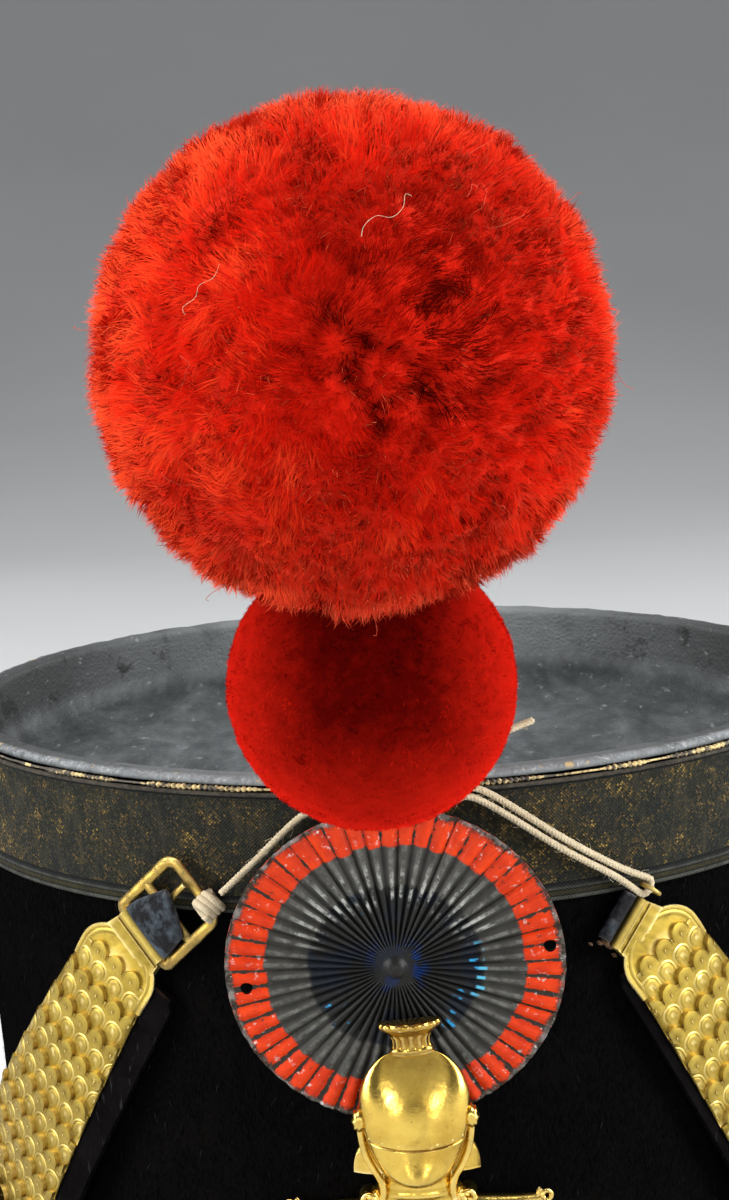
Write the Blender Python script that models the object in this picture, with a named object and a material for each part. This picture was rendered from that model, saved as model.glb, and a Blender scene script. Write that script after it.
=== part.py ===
# A shako of black felt with a sunk leather crown, a galloon round its top, gilt chin
# scales, a pleated metal cockade, a stamped helmet plate and a double red pompom.
#
# It stands on its lower edge. +Z is up, the front looks towards -Y, and left and right
# are as seen from the front. Sizes are in millimetres and become metres in each mesh.

import math
import random

import bmesh
import bpy
from mathutils import Matrix, Vector

MM = 0.001
GAP = 0.3  # between pieces that touch

# Felt body
HEIGHT = 180.0  # lower edge to the top of the rim
RIM_RADIUS = 107.4  # the felt's outer radius at the rim, where it is round
FOOT_HALF_WIDTH = 99.0
FOOT_HALF_DEPTH = 103.0
FOOT_SET_BACK = 3.0  # how far the foot's middle lies behind the rim's
FELT = 2.5
FELT_TOP = 177.9
SIDES = 48  # flats round the head
ORIGIN_SHIFT = 45.4  # brings the middle of the whole footprint to the origin

# Crown leather
CROWN_LEATHER = 1.8
CROWN_SINK = 16.0
CROWN_SAG = 2.0
LIP_FOOT = 177.0  # lower edge of the fold outside the rim

# Galloon and foot band
LACE = 1.2
LACE_FOOT = 148.4
LACE_TOP = 176.6
LACE_RIDGE = 0.5
BAND = 1.6
BAND_FOOT = 1.0
BAND_TOP = 24.0

# Peak
PEAK = 2.5
PEAK_HALF_ANGLE = 62.0
PEAK_REACH = 45.0
PEAK_CORNER_REACH = 4.0
PEAK_ARCH = 13.0  # how high the felt's lower edge rises over the peak
PEAK_SEAT = 3.5  # top of the peak above the felt's lower edge, where they meet

# Cockade
COCKADE_RADIUS = 37.6
COCKADE_HEIGHT = 138.0
COCKADE_ANGLE = -0.8
COCKADE_TILT = 6.2  # stands off more at its top, where the post passes behind
COCKADE_STAND = 5.3
PLEATS = 54
PLEAT_RIDGE = 1.4
PLEAT_VALLEY = 0.8
HOLE_RADIUS = 1.4
HOLES = ((-0.88, -0.10), (0.91, 0.10))  # across and up, in cockade radii

# Pompoms and post
TUFT_CENTRE = (-5.0, -145.3, 275.2)
TUFT_RADIUS = 54.4
TUFT_ROOT = 47.8
TUFT_LOCK = 51.3
TUFT_POINTS = 110  # two locks for each
WHORL_ANGLE = -3.5  # where the hair parts, from the front
WHORL_RISE = 20.0  # and above the level
BALL_CENTRE = (-3.8, -130.5, 204.8)
BALL_RADIUS = 31.3
COLLAR_RADIUS = 10.4
COLLAR_HEIGHT = 6.4
POST_RADIUS = 1.0
POST_FOOT = (-4.3, -109.2, 153.0)
POST_HEAD = (-4.3, -118.1, 200.0)

# Chin straps: where the rounded tip lies, how far the strap leans from upright there,
# how far its lower end stands off the felt, and the leather left bare beside the scales
STRAPS = {
    "left": {"side": -1, "angle": -33.9, "height": 141.4, "lean": 36.2, "lift": 7.0, "bare": 6.4},
    "right": {"side": 1, "angle": 30.1, "height": 141.2, "lean": 35.7, "lift": 7.0, "bare": 2.6},
}
STRAP_LENGTH = 110.0  # rounded tip to the middle of the boss
STRAP_LIFT_TIP = 1.5
STRAP_HALF_TIP = 9.4
STRAP_WIDENING = 0.086  # half width gained for each millimetre down the strap
STRAP_LEATHER = 1.6
PLATE = 0.6
PLATE_PITCH = 9.75
PLATE_COUNT = 9
PLATE_LENGTH = 14.2
FIRST_PLATE = 11.0
PLATE_RISE = 1.35  # how much higher a plate's tongues lie than its root
TONGUES = 5  # rounded tongues along a plate's edge
TONGUE_DEPTH = 2.3
END_PLATE = 0.6
END_PLATE_LENGTH = 15.4
BOSS_RADIUS = 18.5
BOSS_STEM_RADIUS = 3.0
BOSS_CLEAR = 2.2  # between the boss's flat back and the strap's leather
BOSS_SIDES = 20

# Buckle at the left strap's end; its frame lies flat, with its near bar in the sleeve
BUCKLE = {"angle": -32.2, "height": 142.0, "lean": 50.0, "off": 4.0}
BUCKLE_WIDTH = 19.6
BUCKLE_LENGTH = 21.2
BUCKLE_THICK = 1.4
BUCKLE_WIRE = 2.2
BUCKLE_NEAR_WIRE = 1.2
BUCKLE_CORNER = 3.0
BUCKLE_MIDDLE = 9.8  # the middle bar, from the near bar
SLEEVE_RADIUS = 1.6
SLEEVE_BORE = 1.25
SLEEVE_LENGTH = 14.6

# Clasp at the right strap's end, and where its ring stands in the clasp's frame
CLASP = {"angle": 28.0, "height": 141.3, "lean": 54.0, "off": 3.9}
CLASP_WIDTH = 13.0
SHEET = 0.7  # the sheet of the clasp and of the buckle's sleeve
SHEET_LEVEL = 2.2  # its underside over the felt; it goes below the strap's rounded plate
SHEET_LENGTH = 6.2
CLASP_ROLL_RADIUS = 1.2
RING_SPOT = (9.2, 0.2, 1.0)
RING_RADIUS = 2.3
RING_WIRE = 0.5
ROLL_LENGTH = 12.0
ROLL_RADIUS = 1.6

# Strings, and the points that each passes
STRING_RADIUS = 0.85
STRING_STEP = 4.5  # between points along a string
STRAND_STEP = 3.0  # and along the one that turns in the ring
TIE_CENTRE = (-4.3, -112.9, 172.5)
LEFT_ROUTE = (
    (-7.6, -111.8, 172.8),
    (-11.0, -110.4, 173.2),
    (-15.5, -109.6, 173.2),
    (-21.0, -108.7, 171.6),
    (-31.6, -105.6, 161.3),
    (-36.0, -104.8, 157.2),
    (-39.5, -104.1, 153.9),
)
STUB_ROUTE = (
    (-1.0, -113.6, 173.8),
    (4.0, -112.8, 176.2),
    (10.0, -111.8, 180.5),
    (16.0, -109.8, 184.6),
    (22.0, -107.2, 187.4),
    (27.0, -105.6, 189.0),
    (31.0, -104.2, 190.1),
)
STRAND_FROM_TIE = (
    (-0.2, -111.9, 171.6), (6.0, -110.8, 173.4), (12.6, -110.2, 174.8), (18.8, -109.3, 175.0),
)
STRAND_MIDDLE = (36.9, -104.2, 161.9)
STRAND_PART = 1.1  # half the distance between the two strands


def clear_scene():
    for obj in list(bpy.data.objects):
        bpy.data.objects.remove(obj, do_unlink=True)


def finish(name, colour, roughness, metallic=0.0):
    """A plain Principled material."""
    material = bpy.data.materials.new(name)
    material.use_nodes = True
    shader = material.node_tree.nodes["Principled BSDF"]
    shader.inputs["Base Color"].default_value = (*colour, 1.0)
    shader.inputs["Roughness"].default_value = roughness
    shader.inputs["Metallic"].default_value = metallic
    return material


def make_object(name, bm, material, parent):
    """Turns a bmesh in millimetres into a smooth-shaded object under the hat."""
    bmesh.ops.recalc_face_normals(bm, faces=bm.faces)
    bmesh.ops.scale(bm, vec=(MM, MM, MM), verts=bm.verts)
    mesh = bpy.data.meshes.new(name)
    bm.to_mesh(mesh)
    bm.free()
    mesh.materials.append(material)
    mesh.shade_smooth()
    mesh.set_sharp_from_angle(angle=math.radians(35.0))
    obj = bpy.data.objects.new(name, mesh)
    bpy.context.scene.collection.objects.link(obj)
    obj.parent = parent
    return obj


def place(obj, frame):
    """Puts an object at a frame given in millimetres."""
    obj.matrix_local = Matrix.Translation(frame.translation * MM) @ frame.to_3x3().to_4x4()
    return obj


def combine(obj, tool, operation):
    """Fuses a tool object into another, or cuts it away, and removes the tool."""
    modifier = obj.modifiers.new(operation.title(), "BOOLEAN")
    modifier.operation = operation
    modifier.solver = "EXACT"
    modifier.object = tool
    bpy.context.view_layer.update()
    graph = bpy.context.evaluated_depsgraph_get()
    mesh = bpy.data.meshes.new_from_object(obj.evaluated_get(graph))
    obj.modifiers.remove(modifier)
    old, obj.data = obj.data, mesh
    bpy.data.meshes.remove(old)
    mesh.name = obj.name
    mesh.set_sharp_from_angle(angle=math.radians(35.0))
    bpy.data.objects.remove(tool, do_unlink=True)


# The wall: a ruled surface from the oval foot to the round rim. A direction is the way
# that the wall faces, so its flats stay parallel from foot to rim.


def facing(angle):
    return Vector((math.sin(angle), -math.cos(angle), 0.0))


def foot_point(angle):
    """Point of the foot's oval where it faces in this direction."""
    across, along = math.sin(angle), math.cos(angle)
    scale = math.hypot(FOOT_HALF_WIDTH * across, FOOT_HALF_DEPTH * along)
    oval = Vector((FOOT_HALF_WIDTH**2 * across, -(FOOT_HALF_DEPTH**2) * along, 0.0)) / scale
    return oval + Vector((0.0, FOOT_SET_BACK, 0.0))


def wall(angle, height, off=0.0):
    """Point at a height, off millimetres outside the felt, measured level."""
    point = foot_point(angle).lerp(RIM_RADIUS * facing(angle), height / HEIGHT)
    point += off * facing(angle)
    point.z = height
    return point


def wall_frame(angle, height, off=0.0, turn=0.0):
    """Frame on the wall: X to the viewer's right, Y up the wall, Z outwards."""
    rise = (wall(angle, height + 1.0) - wall(angle, height)).normalized()
    slope = rise.dot(facing(angle)) / rise.z
    out = (facing(angle) - Vector((0.0, 0.0, slope))).normalized()
    axes = Matrix((rise.cross(out), rise, out)).transposed().to_4x4()
    spot = wall(angle, height) + off * out
    return Matrix.Translation(spot) @ axes @ Matrix.Rotation(math.radians(turn), 4, "Z")


def surface(angle, height, off):
    return wall_frame(angle, height, off).translation


# Mesh builders


def loop_faces(bm, first, second):
    """Quads between two rings of vertices."""
    count = len(first)
    for k in range(count):
        m = (k + 1) % count
        bm.faces.new((first[k], first[m], second[m], second[k]))


def fan(bm, ring, centre):
    for k, vertex in enumerate(ring):
        bm.faces.new((vertex, ring[(k + 1) % len(ring)], centre))


def ring_solid(name, section, material, parent):
    """A closed section carried round the head; section(angle) gives its corners."""
    bm = bmesh.new()
    around = [2.0 * math.pi * k / SIDES for k in range(SIDES)]
    loops = [[bm.verts.new(p) for p in section(angle)] for angle in around]
    for k in range(SIDES):
        loop_faces(bm, loops[k], loops[(k + 1) % SIDES])
    return make_object(name, bm, material, parent)


def lathe(name, profile, sides, material, parent):
    """A solid turned about Z; profile rows are radius and height, from axis to axis."""
    bm = bmesh.new()
    rings = []
    for radius, height in profile[1:-1]:
        steps = [2.0 * math.pi * k / sides for k in range(sides)]
        rings.append(
            [bm.verts.new((radius * math.cos(t), radius * math.sin(t), height)) for t in steps]
        )
    for low, high in zip(rings, rings[1:]):
        loop_faces(bm, low, high)
    fan(bm, rings[0], bm.verts.new((0.0, 0.0, profile[0][1])))
    fan(bm, rings[-1], bm.verts.new((0.0, 0.0, profile[-1][1])))
    return make_object(name, bm, material, parent)


def slab(name, top, bottom, material, parent):
    """A closed sheet between two grids of points of the same size."""
    bm = bmesh.new()
    upper = [[bm.verts.new(p) for p in row] for row in top]
    lower = [[bm.verts.new(p) for p in row] for row in bottom]
    rows, columns = len(upper), len(upper[0])
    for grid in (upper, lower):
        for i in range(rows - 1):
            for j in range(columns - 1):
                bm.faces.new((grid[i][j], grid[i][j + 1], grid[i + 1][j + 1], grid[i + 1][j]))
    border = [(0, j) for j in range(columns)]
    border += [(i, columns - 1) for i in range(1, rows)]
    border += [(rows - 1, j) for j in reversed(range(columns - 1))]
    border += [(i, 0) for i in reversed(range(1, rows - 1))]
    loop_faces(bm, [upper[i][j] for i, j in border], [lower[i][j] for i, j in border])
    return make_object(name, bm, material, parent)


def prism(name, outline, low, high, material, parent):
    """An outline of X and Y points, given height along Z."""
    bm = bmesh.new()
    under = [bm.verts.new((x, y, low)) for x, y in outline]
    over = [bm.verts.new((x, y, high)) for x, y in outline]
    loop_faces(bm, under, over)
    bm.faces.new(under)
    bm.faces.new(over)
    return make_object(name, bm, material, parent)


def rod(name, start, end, radius, sides, material, parent):
    """A plain round bar between two points."""
    start, end = Vector(start), Vector(end)
    length = (end - start).length
    bm = bmesh.new()
    bmesh.ops.create_cone(
        bm, cap_ends=True, segments=sides, radius1=radius, radius2=radius, depth=length
    )
    turn = (end - start).to_track_quat("Z", "Y").to_matrix().to_4x4()
    bmesh.ops.transform(bm, matrix=Matrix.Translation((start + end) / 2.0) @ turn, verts=bm.verts)
    return make_object(name, bm, material, parent)


def torus(name, frame, radius, wire, around, across, material, parent):
    """A ring of round wire lying in the frame's XY plane."""
    bm = bmesh.new()
    loops = []
    for k in range(around):
        turn = 2.0 * math.pi * k / around
        out = Vector((math.cos(turn), math.sin(turn), 0.0))
        loop = []
        for m in range(across):
            tilt = 2.0 * math.pi * m / across
            loop.append(out * (radius + wire * math.cos(tilt)) + Vector((0, 0, wire * math.sin(tilt))))
        loops.append([bm.verts.new(p) for p in loop])
    for k in range(around):
        loop_faces(bm, loops[k], loops[(k + 1) % around])
    return place(make_object(name, bm, material, parent), frame)


# Felt, leather and galloon


def arch(angle):
    """Height of the felt's lower edge: it rises at the front to let the peak slope down."""
    degrees = math.degrees(math.remainder(angle, 2.0 * math.pi))
    if abs(degrees) >= PEAK_HALF_ANGLE:
        return 0.0
    return PEAK_ARCH * (0.5 + 0.5 * math.cos(math.pi * degrees / PEAK_HALF_ANGLE))


def band_foot(angle):
    """The foot band ends just above the floor, and above the peak where there is one."""
    degrees = math.degrees(math.remainder(angle, 2.0 * math.pi))
    reach = (PEAK_HALF_ANGLE + 360.0 / SIDES - abs(degrees)) / (360.0 / SIDES)
    over_peak = arch(angle) + PEAK_SEAT + GAP + 0.2
    return BAND_FOOT + (over_peak - BAND_FOOT) * min(max(reach, 0.0), 1.0)


def make_felt_body(material, parent):
    def section(angle):
        corners = ((0.0, arch(angle)), (0.0, FELT_TOP), (-FELT, FELT_TOP), (-FELT, arch(angle)))
        return [wall(angle, z, off) for off, z in corners]

    ring_solid("felt_body", section, material, parent)


def make_crown_leather(material, parent):
    """A leather dish whose edge folds over the rim and a little way down outside."""
    thick = CROWN_LEATHER
    inside = -FELT - GAP - thick  # inner face of the leather wall
    floor_top = HEIGHT - CROWN_SINK
    # rows of the section: distance off the felt's outer face, and height
    rows = (
        (inside - 2.4, floor_top),
        (inside, floor_top + 2.8),
        (inside, HEIGHT - 0.7),
        (inside + 0.7, HEIGHT),
        (GAP + thick - 0.7, HEIGHT),
        (GAP + thick, HEIGHT - 0.7),
        (GAP + thick, LIP_FOOT),
        (GAP, LIP_FOOT),
        (GAP, FELT_TOP + GAP),
        (-FELT - GAP, FELT_TOP + GAP),
        (-FELT - GAP, floor_top - thick),
    )
    bm = bmesh.new()
    around = [2.0 * math.pi * k / SIDES for k in range(SIDES)]
    rings = [[bm.verts.new(wall(angle, z, off)) for angle in around] for off, z in rows]
    for low, high in zip(rings, rings[1:]):
        loop_faces(bm, low, high)
    fan(bm, rings[0], bm.verts.new((0.0, 0.0, floor_top - CROWN_SAG)))
    fan(bm, rings[-1], bm.verts.new((0.0, 0.0, floor_top - thick - CROWN_SAG)))
    make_object("crown_leather", bm, material, parent)


def make_top_lace(material, parent):
    # rows: how far the outer face stands off the felt, and height
    face = GAP + LACE
    rows = (
        (face + LACE_RIDGE, LACE_FOOT),
        (face + LACE_RIDGE, LACE_FOOT + 3.0),
        (face, LACE_FOOT + 3.8),
        (face, LACE_TOP),
        (GAP, LACE_TOP),
        (GAP, LACE_FOOT),
    )
    ring_solid(
        "top_lace", lambda angle: [wall(angle, z, off) for off, z in rows], material, parent
    )


def make_base_band(material, parent):
    def section(angle):
        low = band_foot(angle)
        corners = ((GAP + BAND, low), (GAP + BAND, BAND_TOP), (GAP, BAND_TOP), (GAP, low))
        return [wall(angle, z, off) for off, z in corners]

    ring_solid("base_band", section, material, parent)


def make_peak(material, parent):
    """A crescent that slopes from the foot of the felt down to the floor."""
    steps = round(PEAK_HALF_ANGLE / (360.0 / SIDES)) * 2
    across = (0.0, 0.5, 0.93, 1.0)  # share of the reach at each row of points
    top, bottom = [], []
    for k in range(steps + 1):
        angle = math.radians(PEAK_HALF_ANGLE * (2.0 * k / steps - 1.0))
        share = math.cos(math.pi / 2.0 * (2.0 * k / steps - 1.0)) ** 0.8
        reach = PEAK_CORNER_REACH + (PEAK_REACH - PEAK_CORNER_REACH) * share
        seat = arch(angle) + PEAK_SEAT
        upper, lower = [], []
        for part in across:
            height = seat + (PEAK - seat) * math.sin(math.pi / 2.0 * part) ** 1.1
            rounding = 0.6 if part == across[-1] else 0.0
            off = GAP + reach * part
            upper.append(wall(angle, height - rounding, off))
            lower.append(wall(angle, height - PEAK + rounding, off))
        top.append(upper)
        bottom.append(lower)
    slab("peak", top, bottom, material, parent)


# Cockade


def make_cockade(material, parent):
    """A round metal disc pressed into pleats, with a boss at its middle."""
    bm = bmesh.new()
    count = 2 * PLEATS
    middle = (PLEAT_RIDGE + PLEAT_VALLEY) / 2.0
    # rows: radius, height on a ridge, height in a valley
    rows = (
        (COCKADE_RADIUS, 0.0, 0.0),
        (COCKADE_RADIUS, PLEAT_RIDGE, PLEAT_VALLEY),
        (9.0, PLEAT_RIDGE - 0.1, PLEAT_VALLEY + 0.1),
        (3.0, middle, middle),
    )
    rings = []
    for radius, ridge, valley in rows:
        ring = []
        for k in range(count):
            turn = 2.0 * math.pi * k / count
            height = valley if k % 2 else ridge
            ring.append(bm.verts.new((radius * math.cos(turn), radius * math.sin(turn), height)))
        rings.append(ring)
    for low, high in zip(rings, rings[1:]):
        loop_faces(bm, low, high)
    fan(bm, rings[0], bm.verts.new((0.0, 0.0, 0.0)))
    fan(bm, rings[-1], bm.verts.new((0.0, 0.0, middle + 2.0)))
    disc = make_object("cockade", bm, material, parent)
    for across, up in HOLES:
        spot = Vector((across, up, 0.0)) * COCKADE_RADIUS
        lift = Vector((0.0, 0.0, 3.0))
        tool = rod("hole", spot - lift, spot + lift, HOLE_RADIUS, 10, material, parent)
        combine(disc, tool, "DIFFERENCE")
    frame = wall_frame(math.radians(COCKADE_ANGLE), COCKADE_HEIGHT, COCKADE_STAND)
    place(disc, frame @ Matrix.Rotation(math.radians(COCKADE_TILT), 4, "X"))


# Front plate: a closed helmet over a cuirass, pressed in relief


PLATE_HEIGHT = 86.0  # height on the wall of the plate's own origin
PLATE_STAND = 1.0
PLATE_BEND_RADIUS = 101.0
PLATE_EDGE = 0.8
# rows: height, half width, relief and how far the back lies off the wall; from foot to head
CUIRASS_ROWS = (
    (48.6, 17.6, 3.0, 0.0),
    (52.4, 16.1, 4.2, 0.0),
    (56.0, 14.6, 4.6, 0.0),
    (61.8, 16.6, 6.1, 0.0),
    (69.1, 19.4, 6.8, 0.0),
    (75.6, 21.0, 6.0, 0.0),
    (79.3, 18.8, 5.0, 0.0),
    (81.8, 13.3, 4.6, 0.0),
    (83.4, 9.9, 5.0, 0.0),
    (91.1, 9.1, 5.5, 0.0),
)
HELMET_ROWS = (
    (86.5, 2.2, 2.0, 3.0),
    (88.8, 7.4, 4.7, 3.0),
    (92.2, 10.5, 6.3, 3.0),
    (97.6, 11.9, 7.1, 3.2),
    (104.9, 12.3, 7.3, 3.8),
    (111.5, 11.6, 6.4, 4.4),
    (115.8, 9.4, 4.9, 4.8),
    (118.8, 4.9, 2.2, 5.1),
)
SOCKET_ROWS = (
    (117.4, 4.5, 2.6, 5.0),
    (120.6, 4.2, 3.0, 5.4),
    (122.7, 5.2, 3.5, 5.7),
    (123.5, 6.9, 4.2, 5.8),
    (125.4, 6.5, 3.8, 6.0),
)
EAR_SPOT = (12.6, 102.3)
EAR_RADIUS = 2.3
FLAP_OUTLINE = ((10.3, 96.8), (12.5, 96.0), (14.0, 90.3), (10.6, 88.3), (7.7, 90.3))
SHOULDER_CURL = (11.0, 83.0)
ARM_OUTLINE = ((12.0, 78.0), (12.0, 82.4), (20.6, 81.8), (28.6, 81.5), (28.6, 79.0), (20.6, 78.0))
ARM_CURL = (28.8, 80.3)
CURL_RADIUS = 2.4


def plate_point(across, height, lift):
    """Point in the plate's own frame, bent round the wall below the helmet."""
    bend = min(max((96.8 - height) / 8.0, 0.0), 1.0)
    drop = bend * across**2 / 2.0 / PLATE_BEND_RADIUS
    return Vector((across, height - PLATE_HEIGHT, lift - drop))


def relief(name, rows, columns, material, parent):
    """A pressed form lofted through rows; each row is a half oval on a flat back."""
    top, bottom = [], []
    for height, half, rise, back in rows:
        upper, lower = [], []
        for k in range(columns + 1):
            turn = math.pi * k / columns
            across = -half * math.cos(turn)
            lift = back + PLATE_EDGE + (rise - PLATE_EDGE) * math.sin(turn)
            upper.append(plate_point(across, height, lift))
            lower.append(plate_point(across, height, back))
        top.append(upper)
        bottom.append(lower)
    return slab(name, top, bottom, material, parent)


def bent_prism(name, outline, low, high, material, parent):
    """An outline of the plate raised between two levels, bent with it."""
    bm = bmesh.new()
    under = [bm.verts.new(plate_point(x, y, low)) for x, y in outline]
    over = [bm.verts.new(plate_point(x, y, high)) for x, y in outline]
    loop_faces(bm, under, over)
    for ring, level in ((under, low), (over, high)):
        middle = sum((v.co for v in ring), Vector()) / len(ring)
        fan(bm, ring, bm.verts.new(middle))
    return make_object(name, bm, material, parent)


def make_front_plate(material, parent):
    plate = relief("front_plate", CUIRASS_ROWS, 8, material, parent)
    combine(plate, relief("helmet", HELMET_ROWS, 10, material, parent), "UNION")
    combine(plate, relief("socket", SOCKET_ROWS, 6, material, parent), "UNION")
    for side in (-1.0, 1.0):
        flap = [(side * x, y) for x, y in FLAP_OUTLINE]
        combine(plate, bent_prism("flap", flap, 2.6, 4.6, material, parent), "UNION")
        arm = [(side * x, y) for x, y in ARM_OUTLINE]
        combine(plate, bent_prism("arm", arm, 0.15, 2.6, material, parent), "UNION")
        # x, height, radius, lowest and highest level of each round detail
        knobs = (
            (*EAR_SPOT, EAR_RADIUS, 3.9, 6.6),
            (*SHOULDER_CURL, CURL_RADIUS, 0.3, 5.8),
            (*ARM_CURL, CURL_RADIUS, 0.3, 4.2),
        )
        for across, height, radius, low, high in knobs:
            foot = plate_point(side * across, height, low)
            head = plate_point(side * across, height, high)
            combine(plate, rod("knob", foot, head, radius, 12, material, parent), "UNION")
    place(plate, wall_frame(0.0, PLATE_HEIGHT, PLATE_STAND))


# Pompoms


def make_tuft(material, parent, tools):
    """Long wool locks, combed away from the whorl at the front and fused to a round head."""
    angle, rise = math.radians(WHORL_ANGLE), math.radians(WHORL_RISE)
    whorl = facing(angle) * math.cos(rise) + Vector((0.0, 0.0, math.sin(rise)))
    dice = random.Random(4)
    bm = bmesh.new()
    for k in range(TUFT_POINTS):
        level = 1.0 - (2.0 * k + 1.0) / TUFT_POINTS
        turn = math.pi * (3.0 - math.sqrt(5.0)) * k
        flat = math.sqrt(1.0 - level**2)
        spot = Vector((flat * math.cos(turn), flat * math.sin(turn), level))
        bm.verts.new(spot * TUFT_ROOT)
    bmesh.ops.convex_hull(bm, input=bm.verts)
    locks = bmesh.ops.extrude_discrete_faces(bm, faces=list(bm.faces))["faces"]
    for face in locks:
        out = face.calc_center_median().normalized()
        comb = out - whorl * out.dot(whorl)
        comb = (out * out.dot(whorl) - whorl) if comb.length > 1e-6 else Vector()
        sway = Vector((dice.uniform(-1, 1), dice.uniform(-1, 1), dice.uniform(-1, 1)))
        lean = comb + 0.25 * (sway - out * sway.dot(out))
        length = dice.uniform(-1.0, 1.0)
        for vertex in face.verts:
            spot = out * TUFT_ROOT + (vertex.co - out * TUFT_ROOT) * 0.72
            vertex.co = spot.normalized() * (TUFT_LOCK + 0.6 * length) + lean * 1.8
        tip = out * (TUFT_RADIUS + length) + lean * 4.5
        bmesh.ops.poke(bm, faces=[face])["verts"][0].co = tip
    tuft = make_object("pompom_tuft", bm, material, parent)
    place(tuft, Matrix.Translation(Vector(TUFT_CENTRE)))
    for tool in tools:
        combine(tuft, tool, "DIFFERENCE")


def make_pompoms(wool, cloth, iron, parent):
    ball_centre = Vector(BALL_CENTRE)
    tuft_centre = Vector(TUFT_CENTRE)
    axis = (tuft_centre - ball_centre).normalized()
    upright = axis.to_track_quat("Z", "Y").to_matrix().to_4x4()

    clear = 1.2  # how far the long hair stays off what it surrounds
    bm = bmesh.new()
    bmesh.ops.create_uvsphere(bm, u_segments=20, v_segments=12, radius=BALL_RADIUS + clear)
    round_tool = place(
        make_object("round_tool", bm, wool, parent), Matrix.Translation(ball_centre)
    )
    collar_foot = BALL_RADIUS + GAP
    collar_top = collar_foot + COLLAR_HEIGHT
    collar_tool = rod(
        "collar_tool",
        ball_centre + axis * BALL_RADIUS / 2.0,
        ball_centre + axis * (collar_top + GAP),
        COLLAR_RADIUS + clear,
        16,
        wool,
        parent,
    )
    make_tuft(wool, parent, (round_tool, collar_tool))

    bm = bmesh.new()
    bmesh.ops.create_uvsphere(bm, u_segments=20, v_segments=12, radius=BALL_RADIUS)
    ball = make_object("pompom_ball", bm, wool, parent)
    place(ball, Matrix.Translation(ball_centre) @ upright)
    foot, head = Vector(POST_FOOT), Vector(POST_HEAD)
    run = (head - foot).normalized()
    socket = rod("socket", foot, head + run * GAP, POST_RADIUS + GAP, 10, wool, parent)
    combine(ball, socket, "DIFFERENCE")

    # rows: radius and height above the ball's middle
    collar = (
        (0.0, collar_foot),
        (COLLAR_RADIUS - 2.0, collar_foot),
        (COLLAR_RADIUS, collar_foot + 1.6),
        (COLLAR_RADIUS, collar_top - 1.2),
        (COLLAR_RADIUS - 1.2, collar_top),
        (0.0, collar_top),
    )
    collar_piece = lathe("pompom_collar", collar, 16, cloth, parent)
    place(collar_piece, Matrix.Translation(ball_centre) @ upright)
    rod("pompom_pin", foot, head, POST_RADIUS, 10, iron, parent)


# Chin straps


class Strap:
    """The straight way of a strap over the wall, from its rounded tip down to the boss."""

    STEP = 1.0

    def __init__(self, row):
        self.side = row["side"]
        self.lift = row["lift"]
        self.bare = row["bare"]
        angle, height = math.radians(row["angle"]), row["height"]
        lean = math.radians(row["lean"])
        self.stations = []
        for _ in range(round(STRAP_LENGTH / self.STEP) + 40):
            around = (wall(angle + 0.001, height) - wall(angle, height)).length * 1000.0
            upward = (wall(angle, height + 1.0) - wall(angle, height)).length
            self.stations.append((angle, height, lean, around, upward))
            turn = self.side * math.sin(lean) * self.STEP / around
            flare = (wall(angle, height + 1.0) - wall(angle, height)).dot(facing(angle))
            lean += abs(turn) * math.sin(math.atan(flare))
            angle += turn
            height -= math.cos(lean) * self.STEP / upward

    def station(self, down):
        """Direction, height and lean at a distance down the strap; negative is past the tip."""
        place_on = min(max(down / self.STEP, 0.0), len(self.stations) - 1.001)
        k = int(place_on)
        part = place_on - k
        return [a + (b - a) * part for a, b in zip(self.stations[k], self.stations[k + 1])]

    def stand(self, down):
        """How far the leather's back stands off the felt."""
        part = min(max(down / STRAP_LENGTH, 0.0), 1.0)
        return STRAP_LIFT_TIP + (self.lift - STRAP_LIFT_TIP) * part

    def point(self, down, across, off):
        """Point beside the strap's middle line; across is positive away from the front."""
        angle, height, lean, around, upward = self.station(down)
        angle += self.side * math.cos(lean) * across / around
        height += math.sin(lean) * across / upward
        return surface(angle, height, self.stand(down) + off)

    def half_width(self, down):
        return STRAP_HALF_TIP + STRAP_WIDENING * down


def strap_grid(strap, downs, crosses, off):
    """Points of a strap piece: downs are distances, crosses and off may follow them."""
    return [
        [strap.point(d, c, off(d) if callable(off) else off) for c in crosses(d)] for d in downs
    ]


def make_chin_leather(name, strap, material, parent):
    last = STRAP_LENGTH + 8.0
    first = 6.6  # the sheet of the buckle or clasp fills the strap's tip
    downs = [first, 9.0, *(14.0 + 12.0 * k for k in range(9)), last]

    def crosses(down):
        half = strap.half_width(down)
        trim = 2.0 if down in (first, last) else 0.0
        return (-half - strap.bare + trim, -half / 2.0, half / 3.0, half - 1.0 - trim)

    top = strap_grid(strap, downs, crosses, STRAP_LEATHER)
    bottom = strap_grid(strap, downs, crosses, 0.0)
    return slab(name, top, bottom, material, parent)


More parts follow.
